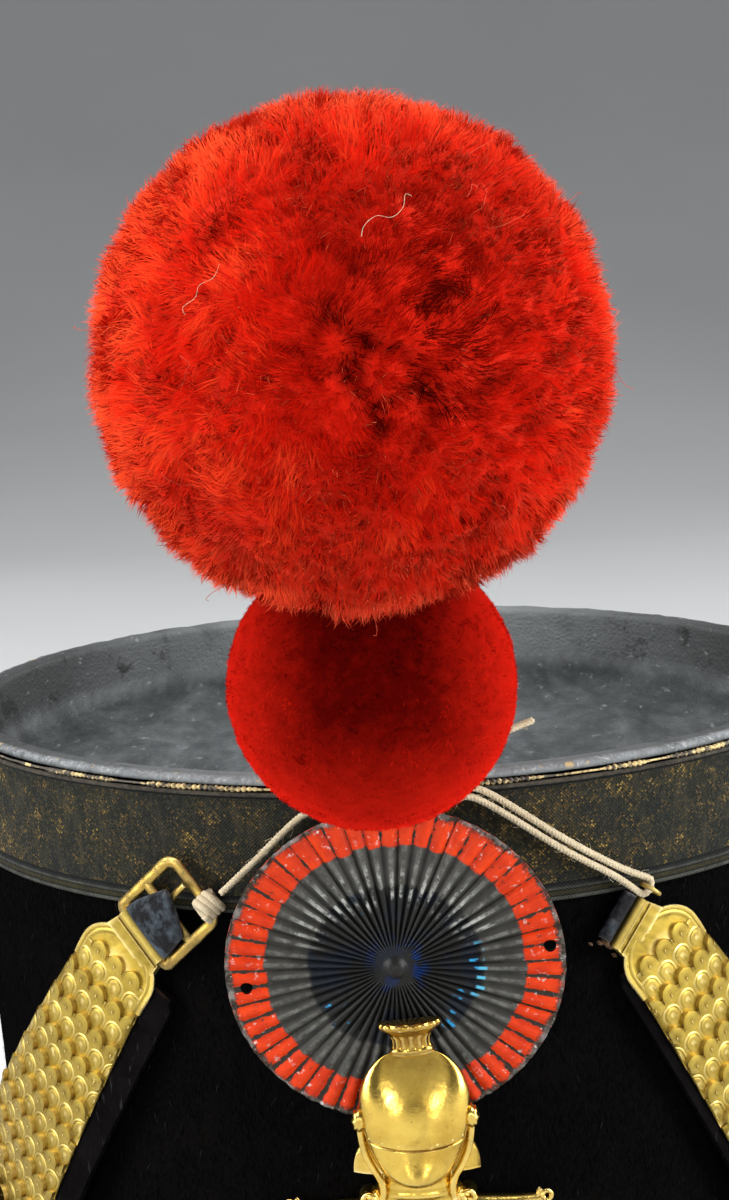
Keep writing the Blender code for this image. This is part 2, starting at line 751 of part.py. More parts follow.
def make_chin_plate(name, strap, start, material, parent):
    """A plate whose rounded tongues point to the strap's tip and lie over the next one."""
    root = start + PLATE_LENGTH
    base = STRAP_LEATHER + GAP
    bm = bmesh.new()

    def vertex(share, down, off):
        half = strap.half_width(down) - (0.6 if down == root else 0.0)
        rise = PLATE_RISE * (root - down) / PLATE_LENGTH
        return bm.verts.new(strap.point(down, half * (2.0 * share - 1.0), base + rise + off))

    sides = []
    for off in (0.0, PLATE):
        roots = [vertex(k / TONGUES, root, off) for k in range(TONGUES + 1)]
        tips = []
        for k in range(TONGUES):
            tips.append(vertex(k / TONGUES, start + TONGUE_DEPTH, off))
            tips += [vertex((k + part) / TONGUES, start, off) for part in (0.3, 0.7)]
        tips.append(vertex(1.0, start + TONGUE_DEPTH, off))
        for k in range(TONGUES):
            bm.faces.new((roots[k + 1], roots[k], *tips[3 * k : 3 * k + 4]))
        sides.append([*roots, *reversed(tips)])
    loop_faces(bm, *sides)
    return make_object(name, bm, material, parent)


def make_chin_end(name, strap, material, parent):
    """The rounded plate at the strap's tip."""
    base = STRAP_LEATHER + GAP
    full = 9.8  # where the round end reaches its full width
    downs = [0.0, 0.5, 1.6, 3.4, 6.0, full, END_PLATE_LENGTH]

    def crosses(down):
        part = min(down / full, 1.0)
        half = (strap.half_width(full) + 0.8) * math.sqrt(max(1.0 - (1.0 - part) ** 2, 0.03))
        return [half * c for c in (-1.0, -0.5, 0.0, 0.5, 1.0)]

    top = strap_grid(strap, downs, crosses, base + END_PLATE)
    bottom = strap_grid(strap, downs, crosses, base)
    return slab(name, top, bottom, material, parent)


def make_chin_boss(name, strap, material, parent):
    """A domed boss on a stem that goes through the strap's leather to the felt."""
    angle, height = strap.station(STRAP_LENGTH)[:2]
    back = strap.stand(STRAP_LENGTH) + STRAP_LEATHER + BOSS_CLEAR
    # rows: radius, and height over the boss's flat back
    rows = (
        (0.0, GAP - back),
        (BOSS_STEM_RADIUS, GAP - back),
        (BOSS_STEM_RADIUS, 0.0),
        (BOSS_RADIUS, 0.0),
        (BOSS_RADIUS, 1.4),
        (BOSS_RADIUS - 4.0, 2.4),
        (BOSS_RADIUS - 5.2, 4.2),
        (BOSS_RADIUS - 11.0, 6.2),
        (0.0, 7.2),
    )
    boss = lathe(name, rows, BOSS_SIDES, material, parent)
    place(boss, wall_frame(angle, height, back))
    return boss


def make_straps(gilt, leather, parent):
    for name, row in STRAPS.items():
        strap = Strap(row)
        hide = make_chin_leather(f"chin_leather_{name}", strap, leather, parent)
        angle, height = strap.station(STRAP_LENGTH)[:2]
        frame = wall_frame(angle, height)
        foot = frame @ Vector((0.0, 0.0, -2.0))
        head = frame @ Vector((0.0, 0.0, 25.0))
        tool = rod("hole", foot, head, BOSS_STEM_RADIUS + GAP, 14, leather, parent)
        combine(hide, tool, "DIFFERENCE")
        for k in range(PLATE_COUNT):
            start = FIRST_PLATE + PLATE_PITCH * k
            make_chin_plate(f"chin_plate_{name}_{k + 1:02d}", strap, start, gilt, parent)
        make_chin_end(f"chin_end_{name}", strap, gilt, parent)
        make_chin_boss(f"chin_boss_{name}", strap, gilt, parent)


# Buckle and clasp


def hardware_frame(row, side):
    """Frame on the wall with Y along the strap towards its tip."""
    return wall_frame(math.radians(row["angle"]), row["height"], row["off"], side * row["lean"])


def rounded_rectangle(x0, x1, y0, y1, radius, steps=3):
    """Corner points of a rectangle with rounded corners."""
    centres = (
        (x1 - radius, y1 - radius, 0.0),
        (x0 + radius, y1 - radius, 90.0),
        (x0 + radius, y0 + radius, 180.0),
        (x1 - radius, y0 + radius, 270.0),
    )
    points = []
    for x, y, start in centres:
        for k in range(steps + 1):
            turn = math.radians(start + 90.0 * k / steps)
            points.append((x + radius * math.cos(turn), y + radius * math.sin(turn)))
    return points


def make_hinge(name, width, radius, off, material, parent):
    """A sheet rolled round at its upper edge; off is the roll's own height over the felt."""
    half = width / 2.0
    outline = (
        (-half - 0.8, -SHEET_LENGTH),
        (half + 0.8, -SHEET_LENGTH),
        (half - 0.3, 0.3),
        (-half + 0.3, 0.3),
    )
    level = SHEET_LEVEL - off
    sheet = prism(name, outline, level, level + SHEET, material, parent)
    roll = rod("roll", (-half, 0.0, 0.0), (half, 0.0, 0.0), radius, 12, material, parent)
    combine(sheet, roll, "UNION")
    return sheet


def make_buckle(gilt, leather, parent):
    frame = hardware_frame(BUCKLE, -1)
    half = BUCKLE_WIDTH / 2.0
    near = -BUCKLE_NEAR_WIRE / 2.0
    far = BUCKLE_LENGTH
    thick = BUCKLE_THICK / 2.0
    outline = rounded_rectangle(-half, half, near, far, BUCKLE_CORNER)
    body = prism("buckle_frame", outline, -thick, thick, gilt, parent)
    inner = half - BUCKLE_WIRE
    middle = BUCKLE_MIDDLE
    bar = BUCKLE_WIRE / 2.0
    # windows either side of the middle bar: y from and to
    for y0, y1 in ((-near, middle - bar), (middle + bar, far - BUCKLE_WIRE)):
        window = rounded_rectangle(-inner, inner, y0, y1, 0.8, 2)
        combine(body, prism("window", window, -3.0, 3.0, gilt, parent), "DIFFERENCE")
    place(body, frame)

    sleeve = make_hinge("buckle_sleeve", SLEEVE_LENGTH, SLEEVE_RADIUS, BUCKLE["off"], gilt, parent)
    bore = rod("bore", (-half, 0, 0), (half, 0, 0), SLEEVE_BORE, 10, gilt, parent)
    combine(sleeve, bore, "DIFFERENCE")
    place(sleeve, frame)

    prong = rod("buckle_prong", (-1.5, middle + 1.6, 0.5), (-1.5, far - 0.8, 2.5), 0.9, 8, gilt, parent)
    place(prong, frame)

    # rows of the folded leather tip: distance from the sleeve, left and right edge
    rows = ((2.0, -7.4, 7.4), (6.0, -6.8, 7.2), (9.8, -5.6, 6.6), (13.0, -4.6, 3.0), (16.0, -3.4, -2.2))
    top, bottom = [], []
    for along, left, right in rows:
        under = thick + GAP + 0.32 * max(along - middle, 0.0)
        crosses = [left + (right - left) * part for part in (0.0, 0.33, 0.67, 1.0)]
        swell = (1.2, 2.4, 2.4, 1.2)
        top.append([Vector((x, along, under + rise)) for x, rise in zip(crosses, swell)])
        bottom.append([Vector((x, along, under)) for x in crosses])
    place(slab("strap_tip", top, bottom, leather, parent), frame)


def make_clasp(gilt, leather, parent):
    frame = hardware_frame(CLASP, 1)
    clasp = make_hinge("end_clasp", CLASP_WIDTH, CLASP_ROLL_RADIUS, CLASP["off"], gilt, parent)
    place(clasp, frame)

    ring_spot = Matrix.Translation(Vector(RING_SPOT))
    ring_frame = frame @ ring_spot @ Matrix.Rotation(math.pi / 2.0, 4, "Y")
    torus("end_ring", ring_frame, RING_RADIUS, RING_WIRE, 12, 6, gilt, parent)

    # section of the folded leather: distance from the clasp's roll, and level
    drop = SHEET_LEVEL - CLASP["off"] - GAP
    bend = []
    for k in range(7):
        turn = math.radians(-80.0 + 220.0 * k / 6.0)
        bend.append((3.6 + ROLL_RADIUS * math.cos(turn), ROLL_RADIUS * math.sin(turn)))
    section = [(-3.0, drop), (-3.0, drop - 1.2), (2.4, drop - 1.2), *bend, (1.7, drop)]
    bm = bmesh.new()
    ends = []
    for x in (-ROLL_LENGTH / 2.0, ROLL_LENGTH / 2.0):
        ends.append([bm.verts.new((x, y, z)) for y, z in section])
    loop_faces(bm, *ends)
    for end in ends:
        bm.faces.new(end)
    place(make_object("leather_roll", bm, leather, parent), frame)


# Strings


def smooth_route(points, step):
    """Even points along a smooth curve through the route's points."""
    knots = [Vector(p) for p in points]
    knots = [2 * knots[0] - knots[1], *knots, 2 * knots[-1] - knots[-2]]
    fine = []
    parts = 20
    for a, b, c, d in zip(knots, knots[1:], knots[2:], knots[3:]):
        for k in range(parts):
            t = k / parts
            fine.append(
                0.5
                * (
                    2 * b
                    + (c - a) * t
                    + (2 * a - 5 * b + 4 * c - d) * t**2
                    + (3 * b - a - 3 * c + d) * t**3
                )
            )
    fine.append(knots[-2])
    lengths = [0.0]
    for a, b in zip(fine, fine[1:]):
        lengths.append(lengths[-1] + (b - a).length)
    count = max(2, round(lengths[-1] / step))
    even = []
    k = 0
    for m in range(count + 1):
        target = lengths[-1] * m / count
        while k < len(fine) - 2 and lengths[k + 1] < target:
            k += 1
        part = (target - lengths[k]) / (lengths[k + 1] - lengths[k])
        even.append(fine[k].lerp(fine[k + 1], min(part, 1.0)))
    return even


def make_string(name, route, step, material, parent):
    curve = bpy.data.curves.new(name, "CURVE")
    curve.dimensions = "3D"
    curve.bevel_depth = STRING_RADIUS * MM
    curve.bevel_resolution = 1
    curve.use_fill_caps = True
    points = smooth_route(route, step)
    spline = curve.splines.new("POLY")
    spline.points.add(len(points) - 1)
    for target, point in zip(spline.points, points):
        target.co = (*(point * MM), 1.0)
    curve.materials.append(material)
    obj = bpy.data.objects.new(name, curve)
    bpy.context.scene.collection.objects.link(obj)
    obj.parent = parent


def strand_route():
    """From the tie over the rim, down to the ring, round through it and back up."""
    frame = hardware_frame(CLASP, 1)
    ring = frame @ Vector(RING_SPOT)
    middle = Vector(STRAND_MIDDLE)
    along = (ring - middle).normalized()
    apart = frame.to_3x3() @ Vector((1.0, 0.0, 0.0))
    apart = (apart - along * apart.dot(along)).normalized()
    down = [Vector(p) for p in STRAND_FROM_TIE] + [middle, middle.lerp(ring, 0.6)]
    bend = 1.9
    turn = []
    for k in range(5):
        t = math.pi * k / 4.0
        turn.append(ring - along * bend + bend * (math.cos(t) * apart + math.sin(t) * along))
    out = [p + apart * STRAND_PART for p in down]
    back = [p - apart * STRAND_PART for p in reversed(down)]
    return out + turn + back


def make_strings(linen, parent):
    make_string("string_left", LEFT_ROUTE, STRING_STEP, linen, parent)
    make_string("string_right", strand_route(), STRAND_STEP, linen, parent)
    make_string("string_stub", STUB_ROUTE, STRING_STEP, linen, parent)
    tie = Matrix.Translation(Vector(TIE_CENTRE))
    torus("string_tie", tie, 2.1, 0.7, 10, 6, linen, parent)
    # the left string is tied round the far bar of the buckle, near its inner corner
    frame = hardware_frame(BUCKLE, -1)
    spot = Vector((BUCKLE_WIDTH / 2.0 - 4.6, BUCKLE_LENGTH - BUCKLE_WIRE / 2.0, 0.0))
    around = frame @ Matrix.Translation(spot) @ Matrix.Rotation(math.pi / 2.0, 4, "Y")
    torus("string_knot", around, 2.6, 0.95, 12, 6, linen, parent)


def main():
    clear_scene()
    hat = bpy.data.objects.new("shako", None)
    bpy.context.scene.collection.objects.link(hat)
    hat.location = (0.0, ORIGIN_SHIFT * MM, 0.0)

    felt = finish("black_felt", (0.006, 0.006, 0.006), 0.95)
    crown = finish("crown_leather", (0.075, 0.085, 0.09), 0.5)
    lace = finish("galloon", (0.05, 0.04, 0.02), 0.7, 0.2)
    leather = finish("black_leather", (0.012, 0.012, 0.012), 0.45)
    enamel = finish("painted_cockade", (0.5, 0.06, 0.03), 0.5)
    gilt = finish("gilt_brass", (0.75, 0.5, 0.12), 0.3, 1.0)
    wool = finish("red_wool", (0.6, 0.02, 0.01), 0.9)
    iron = finish("dark_iron", (0.05, 0.05, 0.05), 0.5, 1.0)
    linen = finish("linen", (0.65, 0.56, 0.4), 0.85)

    make_felt_body(felt, hat)
    make_crown_leather(crown, hat)
    make_top_lace(lace, hat)
    make_base_band(leather, hat)
    make_peak(leather, hat)
    make_cockade(enamel, hat)
    make_front_plate(gilt, hat)
    make_pompoms(wool, wool, iron, hat)
    make_straps(gilt, leather, hat)
    make_buckle(gilt, leather, hat)
    make_clasp(gilt, leather, hat)
    make_strings(linen, hat)


main()
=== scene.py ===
# Looks for the shako: felt, sunk crown, galloon, cockade, helmet plate, scales and pompoms.
# Lengths in the dictionaries are millimetres in the hat's own frame: the foot is at 0, the rim's
# axis is x = y = 0 and the front looks to -y. toRow turns them into the frame's metres.
import math
import bpy
import numpy as np
from mathutils import Matrix, Vector, noise


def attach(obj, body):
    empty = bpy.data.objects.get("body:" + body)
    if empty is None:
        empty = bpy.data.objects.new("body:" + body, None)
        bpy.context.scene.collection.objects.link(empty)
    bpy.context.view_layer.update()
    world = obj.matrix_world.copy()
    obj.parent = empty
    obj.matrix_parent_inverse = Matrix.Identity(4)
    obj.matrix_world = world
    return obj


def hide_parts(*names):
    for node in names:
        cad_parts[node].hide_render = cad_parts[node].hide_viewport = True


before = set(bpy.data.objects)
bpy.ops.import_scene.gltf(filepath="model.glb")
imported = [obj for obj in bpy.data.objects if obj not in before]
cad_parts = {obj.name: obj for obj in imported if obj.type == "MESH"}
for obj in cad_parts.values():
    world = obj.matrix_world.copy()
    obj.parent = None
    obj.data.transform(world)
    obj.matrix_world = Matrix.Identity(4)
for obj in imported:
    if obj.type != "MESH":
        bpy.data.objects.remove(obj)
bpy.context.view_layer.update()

pi = math.pi
hat = {"shift": 45.4, "height": 180.0, "rimRadius": 107.4, "footHalfWidth": 99.0, "footHalfDepth": 103.0,
       "setBack": 3.0, "felt": 2.5, "feltTop": 177.9, "gap": 0.3}


def toRow(points):
    return (np.asarray(points, float) + np.array([0.0, hat["shift"], 0.0])) * 0.001


# camera, stage and lights

shot = {"position": (0.0, -768.318, 330.919), "direction": (-0.007116, 0.985954, -0.166865),
        "roll": 2.531, "lens": 92.559}
studio = {
    # name: place, aim, size x, size y, watts
    "sideLeft": ((-1.10, -0.40, 0.60), (0.0, -0.05, 0.2), 0.6, 1.3, 23.0),
    "sideRight": ((1.10, -0.38, 0.58), (0.0, -0.05, 0.2), 0.6, 1.3, 27.0),
    "frontLeft": ((-0.50, -1.39, 0.145), (0.0, 0.0, 0.12), 0.14, 0.25, 2.6),
    "frontRight": ((0.50, -1.39, 0.145), (0.0, 0.0, 0.12), 0.14, 0.25, 2.6),
    "room": ((0.0, -2.30, 0.90), (0.0, 0.0, 0.15), 2.6, 1.2, 5.5),
    "above": ((-0.20, -0.30, 1.4), (0.0, -0.08, 0.25), 1.0, 0.8, 13.0),
    "behindLeft": ((-0.9, 1.1, 0.9), (0.0, 0.0, 0.15), 0.7, 0.7, 9.0),
    "behindRight": ((0.9, 1.1, 0.9), (0.0, 0.0, 0.15), 0.7, 0.7, 9.0),
}


def setCamera():
    camera = bpy.data.objects.new("camera", bpy.data.cameras.new("camera"))
    bpy.context.scene.collection.objects.link(camera)
    look = Vector(shot["direction"]).to_track_quat("-Z", "Y").to_matrix().to_4x4()
    place = Matrix.Translation(Vector(toRow(shot["position"])))
    camera.matrix_world = place @ look @ Matrix.Rotation(-math.radians(shot["roll"]), 4, "Z")
    camera.data.sensor_fit = "VERTICAL"
    camera.data.sensor_height = 36.0
    camera.data.lens = shot["lens"]
    camera.data.clip_start = 0.01
    bpy.context.scene.camera = camera


def setLights():
    for name, (place, aim, sizeX, sizeY, watts) in studio.items():
        light = bpy.data.lights.new(name, "AREA")
        light.shape, light.size, light.size_y, light.energy = "RECTANGLE", sizeX, sizeY, watts
        lamp = bpy.data.objects.new(name, light)
        bpy.context.scene.collection.objects.link(lamp)
        turn = (Vector(aim) - Vector(place)).to_track_quat("-Z", "Y").to_matrix().to_4x4()
        lamp.matrix_world = Matrix.Translation(Vector(place)) @ turn
    world = bpy.data.worlds.new("studio")
    world.use_nodes = True
    world.node_tree.nodes["Background"].inputs["Color"].default_value = (0.62, 0.64, 0.66, 1.0)
    world.node_tree.nodes["Background"].inputs["Strength"].default_value = 0.10
    bpy.context.scene.world = world
    bpy.context.scene.view_settings.view_transform = "Standard"


# mesh helpers


def gridFaces(rows, columns, wrapRows=False, wrapColumns=False):
    i = np.arange(rows if wrapRows else rows - 1)
    j = np.arange(columns if wrapColumns else columns - 1)
    i, j = np.meshgrid(i, j, indexing="ij")
    a, b = i * columns + j, i * columns + (j + 1) % columns
    c, d = ((i + 1) % rows) * columns + (j + 1) % columns, ((i + 1) % rows) * columns + j
    return stacked(a, b, c, d).reshape(-1, 4)


# one piece from points in hat millimetres and arrays of quads or triangles
def addMesh(name, points, faceSets, material, nodes=(), uv=None, uvName="lay", sharp=50.0):
    faceSets = [np.asarray(f, int) for f in (faceSets if isinstance(faceSets, list) else [faceSets])]
    mesh = bpy.data.meshes.new(name)
    places = toRow(np.asarray(points, float).reshape(-1, 3))
    mesh.vertices.add(len(places))
    mesh.vertices.foreach_set("co", places.ravel())
    corners = np.concatenate([f.ravel() for f in faceSets])
    sizes = np.concatenate([np.full(len(f), f.shape[1]) for f in faceSets])
    mesh.loops.add(len(corners))
    mesh.loops.foreach_set("vertex_index", corners)
    mesh.polygons.add(len(sizes))
    mesh.polygons.foreach_set("loop_start", np.concatenate([[0], np.cumsum(sizes)[:-1]]))
    mesh.update(calc_edges=True)
    if uv is not None:
        layer = mesh.uv_layers.new(name=uvName)
        layer.data.foreach_set("uv", np.asarray(uv, float).reshape(-1, 2)[corners].ravel())
    mesh.materials.append(material)
    mesh.shade_smooth()
    if sharp:
        mesh.set_sharp_from_angle(angle=math.radians(sharp))
    piece = bpy.data.objects.new(name, mesh)
    bpy.context.scene.collection.objects.link(piece)
    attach(piece, "root")
    if nodes:
        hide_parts(*nodes)
    return piece


# several (points, faces) into one; faces of the same corner count only
def gather(parts):
    points, faces, start = [], [], 0
    for p, f in parts:
        p = np.asarray(p, float).reshape(-1, 3)
        points.append(p)
        faces.append(np.asarray(f, int) + start)
        start += len(p)
    return np.concatenate(points), np.concatenate(faces)


def addParts(name, parts, material, nodes=(), where=None, sharp=50.0):
    points, faces = gather(parts)
    if where is not None:
        points = through(where, points)
    return addMesh(name, points, faces, material, nodes, sharp=sharp)


# smooth noise from -1 to 1 at points, with features about size millimetres
def rough(points, size, seed=0.0):
    flat = np.asarray(points, float).reshape(-1, 3) / size + seed
    values = np.array([noise.noise(p) for p in flat.tolist()])
    return values.reshape(np.shape(points)[:-1])


# two directions across a path, carried along it without a twist
def carried(ahead, side):
    sides = []
    for a in ahead:
        side = side - a * side.dot(a)
        side /= np.linalg.norm(side)
        sides.append(side)
    return np.array(sides), np.cross(ahead, sides)


# points and quads of a round tube along a path; an open one is shut at its ends
def tube(path, radius, around=10, closed=False, radii=None):
    path = np.asarray(path, float)
    count = len(path)
    ahead = np.roll(path, -1, 0) - np.roll(path, 1, 0) if closed else np.gradient(path, axis=0)
    ahead /= np.linalg.norm(ahead, axis=1, keepdims=True)
    side = np.cross(ahead[0], (0.0, 0.0, 1.0))
    if np.linalg.norm(side) < 0.2:
        side = np.cross(ahead[0], (0.0, 1.0, 0.0))
    sides, ups = carried(ahead, side)
    turn = circle(around)
    size = np.full(count, radius) if radii is None else np.asarray(radii, float)
    ring = sides[:, None] * np.cos(turn)[None, :, None] + ups[:, None] * np.sin(turn)[None, :, None]
    points = path[:, None] + ring * size[:, None, None]
    if closed:
        return points.reshape(-1, 3), gridFaces(count, around, True, True)
    points = np.concatenate([np.repeat(path[:1], around, 0)[None], points,
                             np.repeat(path[-1:], around, 0)[None]])
    return points.reshape(-1, 3), gridFaces(count + 2, around, False, True)


# even points on a smooth curve through the route
def smoothPath(route, step):
    knots = np.asarray(route, float)
    knots = np.concatenate([[2 * knots[0] - knots[1]], knots, [2 * knots[-1] - knots[-2]]])
    fine = []
    for a, b, c, d in zip(knots, knots[1:], knots[2:], knots[3:]):
        for t in np.arange(20) / 20.0:
            fine.append(0.5 * (2 * b + (c - a) * t + (2 * a - 5 * b + 4 * c - d) * t**2
                               + (3 * b - a - 3 * c + d) * t**3))
    fine = np.array(fine + [knots[-2]])
    along = np.concatenate([[0], np.cumsum(np.linalg.norm(np.diff(fine, axis=0), axis=1))])
    places = np.linspace(0, along[-1], max(2, round(along[-1] / step)) + 1)
    return stacked(*(np.interp(places, along, fine[:, k]) for k in range(3)))


def circle(count):
    return 2 * pi * np.arange(count) / count


# arrays and single values side by side, as the coordinates of points or the corners of faces
def stacked(*parts):
    return np.stack(np.broadcast_arrays(*parts), -1)


# rings of points as a closed form, shut by a point in the middle of each end
def capped(rings):
    rings = np.asarray(rings, float)
    middles = rings.mean(1, keepdims=True).repeat(rings.shape[1], 1)
    closed = np.concatenate([middles[:1], rings, middles[-1:]])
    return closed.reshape(-1, 3), gridFaces(len(closed), rings.shape[1], False, True)


def ease(value, low, high):
    t = np.clip((np.asarray(value, float) - low) / (high - low), 0, 1)
    return t * t * (3 - 2 * t)


def bump(value, middle, width):
    return np.exp(-((np.asarray(value, float) - middle) / width) ** 2)


# the hat's wall


def wallAt(angle, height, off=0.0):
    angle, height, off = np.broadcast_arrays(np.asarray(angle, float), np.asarray(height, float),
                                             np.asarray(off, float))
    across, along = np.sin(angle), np.cos(angle)
    wide, deep = hat["footHalfWidth"], hat["footHalfDepth"]
    scale = np.hypot(wide * across, deep * along)
    part = height / hat["height"]
    rim = hat["rimRadius"] * part + off
    x = wide**2 * across / scale * (1 - part) + rim * across
    y = (hat["setBack"] - deep**2 * along / scale) * (1 - part) - rim * along
    return stacked(x, y, height)


def outward(angle, height):
    angle, height = np.broadcast_arrays(np.asarray(angle, float), np.asarray(height, float))
    facing = stacked(np.sin(angle), -np.cos(angle), 0.0)
    rise = wallAt(angle, height + 1) - wallAt(angle, height)
    out = facing.copy()
    out[..., 2] = -(rise * facing).sum(-1) / rise[..., 2]
    return out / np.linalg.norm(out, axis=-1, keepdims=True)


def surfaceAt(angle, height, off):
    angle, height, off = np.broadcast_arrays(np.asarray(angle, float), height, off)
    return wallAt(angle, height) + off[..., None] * outward(angle, height)


# matrix in hat millimetres: x to the viewer's right, y up the wall, z outwards
def wallFrame(angle, height, off=0.0, turn=0.0):
    rise = Vector(wallAt(angle, height + 1) - wallAt(angle, height)).normalized()
    out = Vector(outward(angle, height))
    axes = Matrix((rise.cross(out), rise, out)).transposed().to_4x4()
    spot = Vector(surfaceAt(angle, height, off))
    return Matrix.Translation(spot) @ axes @ Matrix.Rotation(math.radians(turn), 4, "Z")


def through(matrix, points):
    m = np.array(matrix)
    return np.asarray(points, float) @ m[:3, :3].T + m[:3, 3]


# height of the felt's lower edge over the peak
def archAt(angle):
    degrees = np.degrees((np.asarray(angle, float) + pi) % (2 * pi) - pi)
    rise = 13.0 * (0.5 + 0.5 * np.cos(pi * np.clip(degrees / 62.0, -1, 1)))
    return np.where(np.abs(degrees) >= 62.0, 0.0, rise)


# materials


def node(tree, kind, inputs=None, **settings):
    item = tree.nodes.new("ShaderNode" + kind)
    for key, value in settings.items():
        setattr(item, key, value)
    for key, value in (inputs or {}).items():
        if isinstance(value, bpy.types.NodeSocket):
            tree.links.new(value, item.inputs[key])
        elif isinstance(value, tuple) and len(value) == 3 and item.inputs[key].type == "RGBA":
            item.inputs[key].default_value = (*value, 1.0)
        else:
            item.inputs[key].default_value = value
    return item


# the tree that a value belongs to: the first socket's
def owner(*values):
    return next(value.id_data for value in values if isinstance(value, bpy.types.NodeSocket))


def maths(operation, a, b=0.5, c=0.5, clamp=False):
    inputs = {0: a, 1: b, 2: c} if operation in ("MULTIPLY_ADD", "PINGPONG") else {0: a, 1: b}
    return node(owner(a, b, c), "Math", inputs, operation=operation, use_clamp=clamp).outputs[0]


def times(a, b, *more, clamp=False):
    product = maths("MULTIPLY", a, b, clamp=clamp and not more)
    return times(product, *more, clamp=clamp) if more else product


def plus(a, b, *more, clamp=False):
    total = maths("ADD", a, b, clamp=clamp and not more)
    return plus(total, *more, clamp=clamp) if more else total


def minus(a, b):
    return maths("SUBTRACT", a, b)


def vectorMaths(operation, a, b):
    return node(owner(a, b), "VectorMath", {0: a, 1: b}, operation=operation).outputs[0]


def parted(vector):
    return list(node(owner(vector), "SeparateXYZ", {0: vector}).outputs)


def ramp(value, *stops):
    item = node(owner(value), "ValToRGB", {0: value})
    item.color_ramp.elements[0].position, item.color_ramp.elements[1].position = stops[0][0], stops[-1][0]
    for place, _ in stops[1:-1]:
        item.color_ramp.elements.new(place)
    for element, (_, colour) in zip(item.color_ramp.elements, stops):
        element.color = (*colour, 1.0) if isinstance(colour, tuple) else (colour, colour, colour, 1.0)
    return item.outputs["Color"]


def fade(value, low, high, most=1.0):
    return ramp(value, (low, 0.0), (high, most))


def mixed(amount, a, b, blend="MIX"):
    tree = owner(amount, a, b)
    item = node(tree, "Mix", data_type="RGBA", blend_type=blend)
    for key, value in ((0, amount), (6, a), (7, b)):
        if isinstance(value, bpy.types.NodeSocket):
            tree.links.new(value, item.inputs[key])
        else:
            item.inputs[key].default_value = (*value, 1.0) if isinstance(value, tuple) else value
    return item.outputs[2]


def spots(place, scale, detail=4.0, roughness=0.55, distortion=0.0):
    inputs = {"Vector": place, "Scale": scale, "Detail": detail, "Roughness": roughness,
              "Distortion": distortion}
    return node(owner(place), "TexNoise", inputs).outputs["Fac"]


# patches where noise of a scale, detail and roughness passes from low to high
def flecks(place, kind, low, high, most=1.0):
    return fade(spots(place, *kind), low, high, most)


def newGroup(name, inputs, outputs):
    group = bpy.data.node_groups.new(name, "ShaderNodeTree")
    for label, kind, value in inputs:
        socket = group.interface.new_socket(label, in_out="INPUT", socket_type="NodeSocket" + kind)
        if value is not None:
            socket.default_value = value
    for label, kind in outputs:
        group.interface.new_socket(label, in_out="OUTPUT", socket_type="NodeSocket" + kind)
    return group, group.nodes.new("NodeGroupInput"), group.nodes.new("NodeGroupOutput")


# worn edges broken up by noise; on the gilt they are painted pale as glints as well
def makeEdgeWearAndGlint():
    tree, given, put = newGroup("edgeWearAndGlint", [("Vector", "Vector", None), ("Amount", "Float", 0.5),
                                             ("Breakup", "Float", 300.0)], [("Mask", "Float")])
    sharpness = node(tree, "NewGeometry").outputs["Pointiness"]
    edge = times(minus(sharpness, 0.5), 9.0)
    broken = minus(spots(given.outputs["Vector"], given.outputs["Breakup"], 5.0), 0.35)
    both = times(plus(edge, times(edge, broken)),
                 given.outputs["Amount"], clamp=True)
    tree.links.new(both, put.inputs["Mask"])


# dark dirt in hollows and in drifting patches
def makeGrime():
    tree, given, put = newGroup("grime", [("Vector", "Vector", None), ("Hollows", "Float", 0.6),
                                          ("Patches", "Float", 0.4), ("Scale", "Float", 90.0)],
                                [("Mask", "Float")])
    hollow = times(minus(0.5, node(tree, "NewGeometry").outputs["Pointiness"]),
                   14.0, clamp=True)
    patch = fade(spots(given.outputs["Vector"], given.outputs["Scale"], 6.0, 0.62, 0.4), 0.52, 0.70)
    both = plus(times(hollow, given.outputs["Hollows"]),
                 times(patch, given.outputs["Patches"]), clamp=True)
    tree.links.new(both, put.inputs["Mask"])


# fine grain of leather: pebbles broken by creases
def makeGrain():
    tree, given, put = newGroup("grain", [("Vector", "Vector", None), ("Scale", "Float", 900.0),
                                          ("Creases", "Float", 0.4)], [("Height", "Float")])
    pebble = node(tree, "TexVoronoi", {"Vector": given.outputs["Vector"], "Scale": given.outputs["Scale"]},
                  feature="DISTANCE_TO_EDGE").outputs["Distance"]
    crease = spots(given.outputs["Vector"], 140.0, 7.0, 0.6, 1.2)
    both = plus(times(pebble, 1.2),
                 times(crease, given.outputs["Creases"]))
    tree.links.new(both, put.inputs["Height"])


# long thin scratches and rubs, laid along one direction
def makeScratches():
    tree, given, put = newGroup("scratches",
                                [("Vector", "Vector", None), ("Stretch", "Vector", (1.0, 1.0, 8.0)),
                                 ("Scale", "Float", 400.0), ("Amount", "Float", 0.5)], [("Mask", "Float")])
    long = vectorMaths("DIVIDE", given.outputs["Vector"], given.outputs["Stretch"])
    line = fade(spots(long, given.outputs["Scale"], 3.0, 0.7), 0.60, 0.68)
    where = fade(spots(given.outputs["Vector"], 25.0, 3.0), 0.42, 0.62)
    both = times(times(line, where), given.outputs["Amount"], clamp=True)
    tree.links.new(both, put.inputs["Mask"])


